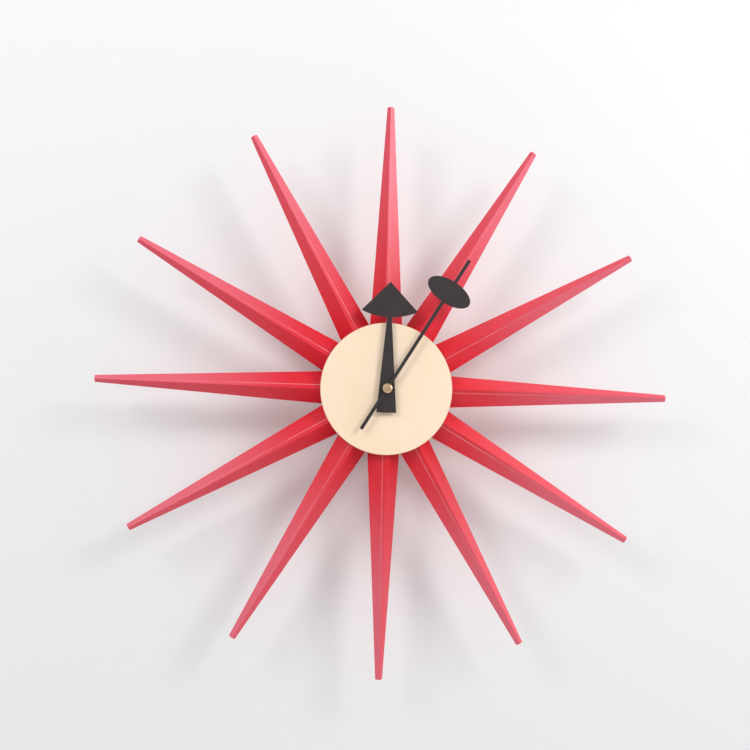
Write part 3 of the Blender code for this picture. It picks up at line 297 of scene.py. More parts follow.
def moulded(name, shades, grain, depth, roughness, values):
    """Moulded part: two near shades where the melt flowed, and the texture of the mould's surface."""
    made, shader, tree, place = material(name, values)
    skin = add(tree, "TexNoise", {"Vector": place, "Scale": 1 / grain, "Detail": 2.0})
    flow = add(tree, "TexNoise", {"Vector": place, "Scale": 1 / (12 * MM), "Detail": 3.0})
    patch = add(tree, "MapRange", {0: flow, 1: 0.35, 2: 0.65})
    first, second = (colour(shade) for shade in shades)
    shade = add(tree, "Mix", {0: patch, 6: first, 7: second}, 2, data_type="RGBA")
    rough = add(tree, "MapRange", {0: skin, 1: 0.3, 2: 0.7, 3: roughness - 0.06, 4: roughness + 0.06})
    relief = add(tree, "Bump", {"Height": skin, "Distance": depth})
    put(shader, {"Base Color": shade, "Roughness": rough, "Normal": relief})
    return made


def copper_wire():
    """Enamelled copper wire wound side by side: bright orange bands, one for each turn, drawn at
    four times the real pitch of 0.06 mm so that they show."""
    values = {"Metallic": 1.0, "Roughness": 0.28}
    made, shader, tree, place = material("enamelled_copper_wire", values)
    wave = {"Vector": place, "Scale": WAVE_LENGTH / (0.24 * MM)}
    turns = add(tree, "TexWave", wave, "Fac", wave_type="BANDS", bands_direction="X")
    bands = add(tree, "Mix", {0: turns, 6: colour("#8c3d16"), 7: colour("#d77b3c")}, 2, data_type="RGBA")
    relief = add(tree, "Bump", {"Height": turns, "Distance": 0.05 * MM})
    put(shader, {"Base Color": bands, "Normal": relief})
    return made


def phenolic_board():
    """Brown phenolic paper board: mottled paper under resin, with the pale lines of the tracks."""
    made, shader, tree, place = material("brown_phenolic_board", {"IOR": 1.55, "Roughness": 0.45})
    paper = add(tree, "TexNoise", {"Vector": place, "Scale": 1 / (0.7 * MM), "Detail": 4.0})
    wave = {"Vector": place, "Scale": WAVE_LENGTH / (2.6 * MM), "Distortion": 1.5}
    tracks = add(tree, "TexWave", wave, "Fac", wave_type="BANDS", bands_direction="Z")
    brown = add(tree, "Mix", {0: paper, 6: colour("#6b4524"), 7: colour("#835a33")}, 2, data_type="RGBA")
    line = add(tree, "MapRange", {0: tracks, 1: 0.88, 2: 0.93, 3: 0.0, 4: 0.8})
    brown = add(tree, "Mix", {0: line, 6: brown, 7: colour("#b98a50")}, 2, data_type="RGBA")
    relief = add(tree, "Bump", {"Height": line, "Distance": 0.03 * MM})
    put(shader, {"Base Color": brown, "Normal": relief})
    return made


def battery_sleeve(band_start):
    """Printed shrink sleeve on the cell, with no lettering: deep green with a copper band at the
    plus end, glossy, and faintly puckered where it shrank."""
    values = {"IOR": 1.53, "Coat Weight": 0.6, "Coat Roughness": 0.12}
    made, shader, tree, place = material("printed_shrink_sleeve", values)
    along = add(tree, "SeparateXYZ", {0: place}, "X")
    pucker = add(tree, "TexNoise", {"Vector": place, "Scale": 1 / (2.5 * MM), "Detail": 2.0})
    band = add(tree, "MapRange", {0: along, 1: band_start, 2: band_start + 0.05 * MM})
    green = add(tree, "Mix", {0: pucker, 6: colour("#173f2c"), 7: colour("#1b4732")}, 2, data_type="RGBA")
    printed = add(tree, "Mix", {0: band, 6: green, 7: colour("#b5703a")}, 2, data_type="RGBA")
    rough = add(tree, "MapRange", {0: pucker, 1: 0.3, 2: 0.7, 3: 0.28, 4: 0.36})
    relief = add(tree, "Bump", {"Height": pucker, "Distance": 0.02 * MM})
    put(shader, {"Base Color": printed, "Roughness": rough, "Normal": relief})
    return made


LACQUER = lacquered_wood()
ENAMEL = dial_enamel()
HAND_PAINT = hand_paint()
BRASS = turned_brass("turned_brass", "Z")
BRASS_STANDING = turned_brass("turned_brass_arbor", "Y")  # for pieces whose axis is the frame's Y
ZINC = zinc_plate()
CUP_ENAMEL = cup_enamel()
# Nitrile rubber, moulded: matt black with a grey bloom on the surface.
RUBBER = moulded("moulded_nitrile_rubber", ("#181716", "#262422"), 0.6 * MM, 0.02 * MM, 0.8, {"IOR": 1.52})
# ABS, moulded in a spark-eroded tool: black with a fine even grain that breaks up the gloss.
CASE_PLASTIC = moulded("spark_textured_abs", ("#131314", "#1a1a1b"), 0.35 * MM, 0.03 * MM, 0.48,
                       {"IOR": 1.54})
# Acetal, moulded in a polished tool: milky white and smooth, with a little light going into it.
MILKY = {"IOR": 1.48, "Subsurface Weight": 0.15, "Subsurface Scale": 0.8 * MM}
ACETAL = moulded("moulded_acetal", ("#e9e6dc", "#f1efe6"), 0.8 * MM, 0.004 * MM, 0.33, MILKY)
# Epoxy poured over the chip: glossy black, wavy where it ran.
RESIN = moulded("poured_black_epoxy", ("#0b0b0c", "#121213"), 1.5 * MM, 0.05 * MM, 0.18, {"IOR": 1.55})
# Ferrite, pressed and sintered: dull grey-black with a gritty skin.
FERRITE = moulded("sintered_ferrite", ("#2b2c2f", "#37383b"), 0.3 * MM, 0.03 * MM, 0.6, {"IOR": 1.9})
COPPER = copper_wire()
BOARD = phenolic_board()


# --- Making shapes --------------------------------------------------------------------------------
def piece(name, mesh, body, finish, stands_for=(), turn=0.0, smooth=30):
    """Makes a mesh a piece of the clock: stood up, turned clockwise, smoothed, riding on its body."""
    mesh.name = name
    mesh.materials.clear()
    mesh.materials.append(finish)
    mesh.shade_smooth()
    mesh.set_sharp_from_angle(angle=math.radians(smooth))
    obj = bpy.data.objects.new(name, mesh)
    bpy.context.scene.collection.objects.link(obj)
    obj.matrix_world = STAND @ Matrix.Rotation(-turn, 4, "Z")
    even = obj.modifiers.new("even_shading", "WEIGHTED_NORMAL")
    even.keep_sharp = True
    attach(obj, body)
    if stands_for:
        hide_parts(*stands_for)


def to_mesh(bm):
    mesh = bpy.data.meshes.new("shape")
    bm.to_mesh(mesh)
    bm.free()
    return mesh


def worked(mesh, *steps):
    """Mesh of a mesh or a curve after modifiers, each given as (type, settings)."""
    obj = bpy.data.objects.new("work", mesh)
    bpy.context.scene.collection.objects.link(obj)
    for kind, settings in steps:
        modifier = obj.modifiers.new(kind.lower(), kind)
        for key, value in settings.items():
            setattr(modifier, key, value)
    result = bpy.data.meshes.new_from_object(obj.evaluated_get(bpy.context.evaluated_depsgraph_get()))
    bpy.data.objects.remove(obj)
    bm = bmesh.new()
    bm.from_mesh(result)
    bmesh.ops.remove_doubles(bm, verts=bm.verts, dist=0.002 * MM)
    bmesh.ops.dissolve_degenerate(bm, edges=bm.edges, dist=0.001 * MM)
    bm.to_mesh(result)
    bm.free()
    return result


def softened(mesh, width, segments=2, angle=30):
    """Mesh with its sharp edges rounded."""
    settings = {"width": width, "segments": segments, "angle_limit": math.radians(angle),
                "use_clamp_overlap": True, "miter_outer": "MITER_ARC"}
    return worked(mesh, ("BEVEL", settings))


def combined(mesh, operation, others):
    """Mesh joined with, or cut by, other meshes in turn."""
    helpers = []
    for other in others:
        helper = bpy.data.objects.new("cutter", other)
        bpy.context.scene.collection.objects.link(helper)
        helpers.append(helper)
    steps = [("BOOLEAN", {"operation": operation, "solver": "EXACT", "object": helper})
             for helper in helpers]
    result = worked(mesh, *steps)
    for helper in helpers:
        bpy.data.objects.remove(helper)
    return result


def moved(mesh, *matrices):
    """The mesh itself, transformed by these matrices, the last one first."""
    whole = Matrix.Identity(4)
    for matrix in matrices:
        whole = whole @ matrix
    mesh.transform(whole)
    return mesh


def up(height):
    return Matrix.Translation((0, 0, height))


OUTWARD = Matrix.Rotation(-math.pi / 2, 4, "X")  # lays an upright shape along Y, away from the axis


def rod(radius, low, high, at=(0.0, 0.0), facets=ROUND, top_radius=None):
    """Upright round bar between two heights, or a cone where it has another radius at the top."""
    bm = bmesh.new()
    top = radius if top_radius is None else top_radius
    bmesh.ops.create_cone(bm, cap_ends=True, segments=facets, radius1=radius, radius2=top, depth=high - low)
    return moved(to_mesh(bm), Matrix.Translation((*at, (low + high) / 2)))


def block(x, y, z):
    """Box from its low and high along each axis."""
    bm = bmesh.new()
    bmesh.ops.create_cube(bm, size=1)
    bmesh.ops.scale(bm, verts=bm.verts, vec=[high - low for low, high in (x, y, z)])
    bmesh.ops.translate(bm, verts=bm.verts, vec=[(low + high) / 2 for low, high in (x, y, z)])
    return to_mesh(bm)


def arc(centre, radius, start, end, count):
    """Points on an arc, both ends included; angles in degrees."""
    angles = [math.radians(start + (end - start) * i / (count - 1)) for i in range(count)]
    return [(centre[0] + radius * math.cos(a), centre[1] + radius * math.sin(a)) for a in angles]


def circle(radius, centre=(0.0, 0.0), facets=ROUND):
    return arc(centre, radius, 0, 360, facets + 1)[:-1]


def mirrored(half):
    """Closed outline from its right half, which runs from the foot up to the head."""
    return half + [(-x, y) for x, y in reversed(half) if x > 1e-9]


def rounded(points, radius, steps=4, only=None):
    """Closed outline with its corners rounded, or only those whose places in the list are given."""
    result = []
    for i, corner in enumerate(points):
        here = Vector(corner)
        before = Vector(points[i - 1]) - here
        after = Vector(points[(i + 1) % len(points)]) - here
        turn = before.angle(after)
        if (only is not None and i not in only) or turn > math.radians(170):
            result.append(corner)
            continue
        set_back = min(radius / math.tan(turn / 2), 0.45 * before.length, 0.45 * after.length)
        first, last = here + before.normalized() * set_back, here + after.normalized() * set_back
        for step in range(steps + 1):
            t = step / steps
            point = first * (1 - t) ** 2 + here * 2 * t * (1 - t) + last * t**2
            result.append((point.x, point.y))
    return result


def turned(profile, facets=ROUND, round_over=0.0, ring=True):
    """Closed profile of (radius, height) swept round the upright axis. An open one starts and ends
    on the axis."""
    if round_over:
        ends = (0, len(profile) - 1) if not ring else ()
        profile = rounded(profile, round_over, 4, [i for i in range(len(profile)) if i not in ends])
    bm = bmesh.new()
    verts = [bm.verts.new((radius, 0, height)) for radius, height in profile]
    last = len(profile) if ring else len(profile) - 1
    edges = [bm.edges.new((verts[i], verts[(i + 1) % len(verts)])) for i in range(last)]
    bmesh.ops.spin(bm, geom=verts + edges, cent=(0, 0, 0), axis=(0, 0, 1), angle=math.tau,
                   steps=facets, use_merge=True)
    bmesh.ops.remove_doubles(bm, verts=bm.verts, dist=0.001 * MM)
    bmesh.ops.recalc_face_normals(bm, faces=bm.faces)
    return to_mesh(bm)


def plate(outlines, low, high):
    """Flat piece between two heights from its outline and the outlines of its holes."""
    curve = bpy.data.curves.new("shape", "CURVE")
    curve.dimensions = "2D"
    curve.fill_mode = "BOTH"
    curve.extrude = (high - low) / 2
    for outline in outlines:
        spline = curve.splines.new("POLY")
        spline.points.add(len(outline) - 1)
        for point, (x, y) in zip(spline.points, outline, strict=True):
            point.co = (x, y, 0, 1)
        spline.use_cyclic_u = True
    return moved(worked(curve), up((low + high) / 2))


def cross_recess(radius, depth, face):
    """Cutters for the crossed recess of a screw whose head looks down from this height."""
    cutters = []
    for quarter in (0, 1):
        blade = block((-radius, radius), (-0.16 * radius, 0.16 * radius), (-depth, depth))
        for vertex in blade.vertices:
            if vertex.co.z < 0:
                vertex.co.x *= 0.45
        moved(blade, Matrix.Rotation(quarter * math.pi / 2, 4, "Z"))
        cutters.append(moved(blade, up(face), Matrix.Rotation(math.pi, 4, "X")))
    return cutters


# --- The rays -------------------------------------------------------------------------------------
def ray_mesh(half_angle):
    """Square bar on edge, tapered, its edges sanded round, hollowed and mitred to sit on the cup."""
    taper = (RAY_ROOT_WIDTH - RAY_TIP_WIDTH) / (RAY_TIP - CUP_RADIUS)
    seat = CUP_RADIUS + GAP
    start = CUP_RADIUS * 0.9  # inside the cup; the hollow cuts it back to the seat
    bm = bmesh.new()
    bmesh.ops.create_cone(
        bm, cap_ends=True, segments=4, radius1=(RAY_ROOT_WIDTH + taper * (CUP_RADIUS - start)) / 2,
        radius2=RAY_TIP_WIDTH / 2, depth=RAY_TIP - start,
    )
    bar = softened(to_mesh(bm), RAY_EDGE, 5)
    twist = Matrix.Rotation(-RAY_TWIST, 4, "Z")
    bar = moved(bar, up(RAY_AXIS), OUTWARD, up((start + RAY_TIP) / 2), twist)
    apex = GAP / 2 / math.sin(half_angle)
    far = RAY_TIP * 1.1
    width = far * math.tan(half_angle)
    opening = 90 - math.degrees(half_angle)
    hollow = arc((0.0, 0.0), seat, opening, 180 - opening, 33)
    wedge = plate([hollow + [(-width, apex + far), (width, apex + far)]], 0, 2 * RAY_AXIS)
    return combined(bar, "INTERSECT", [wedge])


def make_rays():
    """Twelve rays, each mitred for the closest two of them, and the screws that hold them."""
    around = sorted(turn % math.tau for turn in RAY_TURNS.values())
    steps = [b - a for a, b in zip(around, around[1:])] + [around[0] + math.tau - around[-1]]
    ray = ray_mesh(min(steps) / 2)
    screw = ray_screw_mesh()
    for hour, turn in RAY_TURNS.items():
        piece(f"lacquered_ray_{hour:02d}", ray.copy(), "clock_body", LACQUER,
              [f"ray_{hour:02d}"], turn)
        piece(f"round_head_screw_{hour:02d}", screw.copy(), "clock_body", ZINC,
              [f"ray_screw_{hour:02d}"], turn)


def ray_screw_mesh():
    """Round-headed wood screw with a crossed recess, its head inside the cup."""
    seat = CUP_RADIUS - CUP_SHEET - GAP
    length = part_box("ray_screw_12")[1].z - seat
    radius, head = SCREW_RADIUS, SCREW_HEAD_RADIUS
    rim = 0.25  # of the head's height, upright below the dome
    dome = [(head * math.cos(a), -SCREW_HEAD * (rim + (1 - rim) * math.sin(a)))
            for a in (math.radians(10 * i) for i in range(10))]
    dome[-1] = (0.0, -SCREW_HEAD)
    pitch, depth, flank, crest = 1.8 * MM, 0.45 * MM, 0.6 * MM, 0.2 * MM
    point, neck = 5 * MM, 2 * MM  # without thread, at the screw's end and under its head
    thread = []
    for i in range(int((length - point - neck) / pitch)):
        level = length - point - i * pitch
        thread += [(radius, level), (radius - depth, level - flank)]
        thread.append((radius - depth, level - pitch + crest))
    profile = [(0.0, length), *thread, (radius, neck / 2), (radius, 0.0), (head, 0.0), *dome]
    mesh = turned(profile, 40, ring=False)
    mesh = combined(mesh, "DIFFERENCE", cross_recess(0.55 * head, 0.55 * SCREW_HEAD, -SCREW_HEAD))
    return moved(mesh, Matrix.Translation((0, seat, RAY_AXIS)), OUTWARD)


# --- Cup, dial and hanger -------------------------------------------------------------------------
def make_cup():
    """Spun cup, closed in front, with a lip turned in at its open back and drilled for its screws."""
    side, sheet, corner = CUP_RADIUS, CUP_SHEET, CUP_CORNER
    front, back, lip = CUP_FRONT, LIP_BACK, CUP_RADIUS - CUP_LIP

    def bend(radius, high):
        """Quarter of the front or the back corner, from the axis side to the cup's side."""
        centre = (side - corner, front - corner if high else back + corner)
        return arc(centre, radius, *((90, 0) if high else (0, -90)), 9)

    hole = BUSH_RADIUS + GAP
    outside = [(hole, front), *bend(corner, True), *bend(corner, False), (lip, back)]
    inside = [(lip, back + sheet), *reversed(bend(corner - sheet, False))]
    inside += [*reversed(bend(corner - sheet, True)), (hole, front - sheet)]
    cup = turned(outside + inside, FINE)
    drills = []
    for turn in RAY_TURNS.values():
        drill = rod(SCREW_RADIUS + GAP, side * 0.9, side * 1.1, facets=32)
        drills.append(moved(drill, Matrix.Rotation(-turn, 4, "Z"), up(RAY_AXIS), OUTWARD))
    for way in (-1, 1):
        drills.append(rod(STRAP_SCREW_RADIUS + GAP, 0, 3 * sheet + back, (0, way * STRAP_SCREW_Y)))
    cup = combined(cup, "DIFFERENCE", drills)
    piece("spun_cup", cup, "clock_body", CUP_ENAMEL, ["housing_cup"])


def make_dial():
    """Flat disc, its edges just rounded, clamped at the bush."""
    hole = BUSH_RADIUS + GAP
    profile = [(hole, DIAL_FACE), (DIAL_RADIUS, DIAL_FACE), (DIAL_RADIUS, DIAL_BACK), (hole, DIAL_BACK)]
    dial = turned(profile, FINE, round_over=0.5 * MM)
    piece("dial_disc", dial, "clock_body", ENAMEL, ["dial"])


def make_hanger():
    """Strap with a keyhole for the nail, its edges broken, and its two countersunk screws."""
    low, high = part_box("hanger_strap")
    half_x, half_y = (high.x - low.x) / 2, (high.z - low.z) / 2
    back, front = heights("hanger_strap")
    thick = front - back
    corners = [(half_x, -half_y), (half_x, half_y), (-half_x, half_y), (-half_x, -half_y)]
    mouth = math.degrees(math.acos(KEYHOLE_SLOT / KEYHOLE_RADIUS))
    keyhole = arc((0, KEYHOLE_HEIGHT), KEYHOLE_RADIUS, 180 - mouth, 360 + mouth, 49)
    keyhole += arc((0, KEYHOLE_HEIGHT + KEYHOLE_RISE), KEYHOLE_SLOT, 0, 180, 25)
    strap = plate([rounded(corners, half_x / 2, 12), keyhole], back, front)
    strap = softened(strap, 0.2 * MM)
    sinks = []
    for way in (-1, 1):
        at = (0, way * STRAP_SCREW_Y)
        hole, sink = STRAP_SCREW_RADIUS + GAP, STRAP_SCREW_HEAD + GAP + thick
        sinks.append(rod(hole, back - thick, front + thick, at))
        sinks.append(rod(sink, -thick, thick, at, top_radius=hole))
    strap = combined(strap, "DIFFERENCE", sinks)
    piece("keyhole_strap", strap, "clock_body", ZINC, ["hanger_strap"])
    length = heights("strap_screw_top")[1]
    radius, head, face = STRAP_SCREW_RADIUS, STRAP_SCREW_HEAD, GAP / 2
    thread = []
    lead = 0.5 * MM  # smooth end of the screw
    for i in range(int((length - thick - lead - 0.3 * MM) / FINE_PITCH)):
        level = length - lead - i * FINE_PITCH
        thread += [(radius, level), (radius - FINE_THREAD, level - FINE_PITCH / 2)]
    profile = [(0.0, length), (radius * 0.7, length), *thread, (radius, thick), (head, thick / 4)]
    profile += [(head, 0.8 * GAP), (head - 0.15 * MM, face), (0.0, face)]
    for name, way in (("top", 1), ("bottom", -1)):
        screw = turned(profile, 48, ring=False)
        screw = combined(screw, "DIFFERENCE", cross_recess(0.6 * head, 0.9 * MM, face))
        screw = moved(screw, Matrix.Translation((0, way * STRAP_SCREW_Y, 0)))
        piece(f"countersunk_screw_{name}", screw, "clock_body", ZINC,
              [f"strap_screw_{name}"])


# --- The stack that clamps the dial ---------------------------------------------------------------
def make_clamp():
    """Threaded bush, rubber washer behind the cup, brass washer and hexagon nut on the dial."""
    back, front = heights("threaded_bush")
    flange, step, bevel = reach("threaded_bush"), 0.5 * MM, 0.2 * MM
    level = front - FINE_PITCH / 2
    profile = [(BUSH_RADIUS - FINE_THREAD, front)]
    while level > back + step + FINE_PITCH:
        profile += [(BUSH_RADIUS, level), (BUSH_RADIUS - FINE_THREAD, level - FINE_PITCH / 2)]
        level -= FINE_PITCH
    profile += [(BUSH_RADIUS, level), (BUSH_RADIUS, back + step), (flange, back + step), (flange, back)]
    profile += [(BUSH_BORE, back), (BUSH_BORE, front - bevel), (BUSH_BORE + bevel, front)]
    piece("bush_with_thread", turned(profile), "clock_body", BRASS, ["threaded_bush"])
    hole = BUSH_RADIUS + GAP
    for name, node, finish, slot, edge in (
        ("cut_rubber_washer", "rubber_washer", RUBBER, "black_rubber", 0.2 * MM),
        ("stamped_brass_washer", "flat_washer", BRASS, "brass", 0.1 * MM),
    ):
        low, high = heights(node)
        outer = reach(node)
        ring = turned([(outer, high), (outer, low), (hole, low), (hole, high)], ROUND, edge)
        piece(name, ring, "clock_body", finish, [node])
    low, high = heights("hex_nut")
    corner = reach("hex_nut")
    nut = plate([circle(corner, facets=6), circle(hole)], low, high)
    drop = 0.35 * MM  # of the chamfer at the nut's corners
    face, past = corner * math.cos(math.radians(30)) * 0.97, corner * 1.05
    lens = [(0.0, high), (face, high), (past, high - drop), (past, low), (0.0, low)]
    nut = combined(nut, "INTERSECT", [turned(lens, 96, ring=False)])
    piece("chamfered_hex_nut", nut, "clock_body", BRASS, ["hex_nut"])


# --- The hands ------------------------------------------------------------------------------------
def hour_outline(apex):
    """Hour hand: a tail that widens downwards and a triangular head whose foot bulges a little."""
    sag = HOUR_CORNER - HOUR_BELLY
    radius = (HOUR_CORNER_HALF**2 + sag**2) / (2 * sag)
    centre = (0.0, HOUR_BELLY + radius)
    neck = math.degrees(math.asin(HOUR_NECK_HALF / radius))
    corner = math.degrees(math.asin(HOUR_CORNER_HALF / radius))
    foot = arc(centre, radius, 270 + neck, 270 + corner, 24)
    points = mirrored([(HOUR_TAIL_HALF, -HOUR_TAIL), *foot, (0.0, apex)])
    sharp = [i for i, point in enumerate(points)
             if point[1] < 0 or point[1] == apex or abs(point[0]) > HOUR_CORNER_HALF - 0.01 * MM]
    return rounded(points, 0.25 * MM, 4, sharp)


def minute_outline(tip):
    """Minute hand: a straight bar with a round hub and an oval."""
    across = math.degrees(math.asin(MINUTE_HALF / HUB_RADIUS))
    hub = arc((0, 0), HUB_RADIUS, across - 90, 90 - across, 33)
    narrow = math.degrees(math.asin(MINUTE_HALF / OVAL_ACROSS))
    oval = [(OVAL_ACROSS * x, OVAL_CENTRE + OVAL_ALONG * y)
            for x, y in arc((0, 0), 1, narrow - 90, 90 - narrow, 65)]
    points = mirrored([(MINUTE_HALF, -MINUTE_TAIL), *hub, *oval, (MINUTE_HALF, tip)])
    sharp = [i for i, point in enumerate(points) if point[1] in (-MINUTE_TAIL, tip)]
    return rounded(points, 0.2 * MM, 3, sharp)


def make_hands():
    """Stamped hands with the small roll-over of the die on their front edges, and the cap nut."""
    for name, node, outline, hole in (
        ("hour_hand_stamping", "hour_hand", hour_outline, TUBE_RADIUS),
        ("minute_hand_stamping", "minute_hand", minute_outline, THREAD_RADIUS),
    ):
        low, high = heights(node)
        length, turn = farthest(node)
        hand = plate([outline(length), circle(hole + GAP, facets=48)], low, high)
        hand = softened(hand, 0.12 * MM, 2, 50)
        body = "hour_set" if node == "hour_hand" else "minute_set"
        piece(name, hand, body, HAND_PAINT, [node], turn, 40)
    low, top = heights("cap_nut")
    radius, bore = reach("cap_nut"), THREAD_RADIUS + GAP
    face, chamfer, bottom = 0.76 * radius, 0.3 * (top - low), top - 0.4 * (top - low)
    outside = [(0.0, top), (face, top), (radius, top - chamfer), (radius, low)]
    cap = turned([*outside, (bore, low), (bore, bottom), (0.0, bottom)], 96, 0.25 * MM, ring=False)
    piece("brass_cap_nut", cap, "minute_set", BRASS, ["cap_nut"])


# --- The movement's outside -----------------------------------------------------------------------
def make_case():
    """Moulded case, open at the back, softened at its corners, with short grip ribs on its sides."""
    low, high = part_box("case_front")
    half = (high.x - low.x) / 2
    rim, front = heights("case_front")
    inner, floor = half - CASE_WALL, front - CASE_WALL
    cover_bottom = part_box("case_cover")[0].z  # where the battery's bay ends
    wall_low = cover_bottom - GAP
    wall_high = wall_low + BAY_WALL
    corners = [(half, -half), (half, half), (-half, half), (-half, -half)]
    shell = softened(plate([rounded(corners, CASE_CORNER, 10)], rim, front), 0.35 * MM, 3)
    wheels = block((-inner, inner), (wall_high, inner), (rim - CASE_WALL, floor))
    bay = block((-inner, inner), (-inner, wall_low), (rim - CASE_WALL, floor))
    edge = inner - 2.4 * MM  # the contacts pass the bay's wall through a notch at each end
    notch_y = (wall_low - CASE_WALL, wall_high + CASE_WALL)
    notch_z = (rim - CASE_WALL, floor - 3.9 * MM)
    notches = [block((-inner, -edge), notch_y, notch_z), block((edge, inner), notch_y, notch_z)]
    bush = rod(BUSH_RADIUS + GAP, floor - CASE_WALL, front + CASE_WALL)
    flange = rod(reach("threaded_bush") + GAP, floor - CASE_WALL, heights("threaded_bush")[0] + 0.8 * MM)
    shell = combined(shell, "DIFFERENCE", [wheels, bay, *notches, bush, flange])
    rib_half, rib_rise, rib_root, spacing = 0.6 * MM, 0.5 * MM, 0.1 * MM, 12 * MM
    rib_z = (rim + 1 * MM, front - 4 * MM)
    ribs = []
    for side in (-1, 1):
        for place in (-spacing, 0.0, spacing):
            face = (side * half - rib_root, side * (half + rib_rise))
            ribs.append(block(sorted(face), (place - rib_half, place + rib_half), rib_z))
    shell = combined(shell, "UNION", ribs)
    piece("moulded_case", shell, "clock_body", CASE_PLASTIC, ["case_front"])


def cover_marks(half, bottom, back):
    """Marks raised from the cover's back: a ring and a curved arrow round the knob, the signs of the
    cell's ends beside it, and a frame for a label."""
    def relief(*outlines):
        return plate(outlines, back - MARK_RISE, back + 0.1 * MM)

    knob = middle("setting_knob")
    line = 0.9 * MM
    ring = reach("setting_knob") + line
    marks = [relief(circle(ring + line, knob, 96), circle(ring, knob, 96))]
    out, barb = ring + 3.0 * MM, 1.2 * MM
    tail, neck, tip = 200, 111, 97  # angles on the circle round the knob
    arrow = arc(knob, out, tail, neck, 25)
    for radius, angle in ((out + barb, neck), (out - line / 2, tip), (out - line - barb, neck)):
        way = math.radians(angle)
        arrow.append((knob[0] + radius * math.cos(way), knob[1] + radius * math.sin(way)))
    arrow += arc(knob, out - line, neck, tail, 25)
    marks.append(relief(arrow))
    sign_x, sign_y, arm, bar, end = 23.5 * MM, bottom + 3.4 * MM, 1.8 * MM, 0.45 * MM, 0.4 * MM
    minus = [(-arm, -bar), (arm, -bar), (arm, bar), (-arm, bar)]
    plus = [(x * c - y * s, x * s + y * c) for c, s in ((1, 0), (0, 1), (-1, 0), (0, -1))
            for x, y in ((arm, -end), (arm, end), (bar, bar))]
    for way, shape in ((-1, minus), (1, plus)):
        marks.append(relief([(way * sign_x + x, sign_y + y) for x, y in shape]))
    frame_line = []
    for inset, corner in ((0.0, 1.5 * MM), (line, 1.0 * MM)):
        edge, left, foot = half - 3.5 * MM - inset, 7 * MM + inset, bottom + 8 * MM + inset
        corners = [(edge, foot), (edge, edge), (left, edge), (left, foot)]
        frame_line.append(rounded(corners, corner))
    marks.append(relief(*frame_line))
    return marks


def make_cover():
    """Clip-on cover with its raised marks, and four latch lugs over the case's sides."""
    low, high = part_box("case_cover")
    half, bottom = (high.x - low.x) / 2, low.z
    back, front = heights("case_cover")
    corners = [(half, bottom), (half, half), (-half, half), (-half, bottom)]
    outline = rounded(corners, CASE_CORNER, 10, (1, 2))
    shaft_hole = circle(KNOB_SHAFT_RADIUS + GAP, middle("setting_knob"), 48)
    cover = softened(plate([outline, shaft_hole], back, front), 0.25 * MM, 3)
    cover = combined(cover, "UNION", cover_marks(half, bottom, back))
    piece("clip_on_cover", cover, "clock_body", CASE_PLASTIC, ["case_cover"])
    latch_half, latch_thick, latch_length, lug_x = 3 * MM, 1.0 * MM, 5.2 * MM, 14 * MM
    latch = block((-latch_half, latch_half), (0.0, latch_thick), (0.0, latch_length))
    latch = softened(latch, 0.25 * MM)
    places = ((lug_x, half, 0), (-lug_x, half, 0), (half, 0.0, -90), (-half, 0.0, 90))
    for number, (x, y, turn) in enumerate(places, 1):
        at = Matrix.Translation((x, y, back + 0.4 * MM))
        lug = moved(latch.copy(), at, Matrix.Rotation(math.radians(turn), 4, "Z"))
        piece(f"cover_latch_{number}", lug, "clock_body", CASE_PLASTIC)


def pinion_outline():
    """The knob's pinion, its teeth tapered in two steps from the root to a narrow tip."""
    step = math.tau / PINION_TEETH
    root, pitch, tip = 4.75 * PINION_MODULE, PINION_TEETH / 2 * PINION_MODULE, 6.8 * PINION_MODULE
    flank = [(root, 0.46), (pitch, 0.27), (tip, 0.1)]  # radius and half width, as a share of a step
    tooth = [(radius, -side) for radius, side in flank] + flank[::-1]
    return [(radius * math.cos((i + side) * step), radius * math.sin((i + side) * step))
            for i in range(PINION_TEETH) for radius, side in tooth]


def make_knob():
    """Setting knob: a fluted grip with a shallow dish in its end, on its shaft and pinion."""
    back, front = heights("setting_knob")
    outer, flute_depth, flutes, facets = reach("setting_knob"), 0.35 * MM, 24, 240
    edge = []
    for i in range(facets):
        angle = math.tau * i / facets
        radius = outer - flute_depth * (1 - math.cos(flutes * angle))
        edge.append((radius * math.cos(angle), radius * math.sin(angle)))
    grip = softened(plate([edge], back, back + KNOB_THICK), 0.35 * MM, 3, 60)
    bottom, mouth = back + 0.6 * MM, back - 0.2 * MM
    dish = turned([(0.0, bottom), (4.2 * MM, bottom), (4.7 * MM, mouth), (0.0, mouth)], 64, ring=False)
    grip = combined(grip, "DIFFERENCE", [dish])
    pinion_front = heights("case_front")[1] - CASE_WALL - 1.9 * MM
    pinion_back = pinion_front - PINION_WIDTH
    pinion = plate([pinion_outline()], pinion_back, pinion_front)
    shaft = rod(KNOB_SHAFT_RADIUS, back + 2 * MM, pinion_back + 0.1 * MM, facets=48)
    pivot = rod(0.5 * MM, pinion_back, front, facets=32)
    knob = combined(grip, "UNION", [shaft, pinion, pivot])
    knob = moved(knob, Matrix.Translation((*middle("setting_knob"), 0)))
    piece("setting_knob_moulding", knob, "setting_knob", ACETAL, ["setting_knob"])


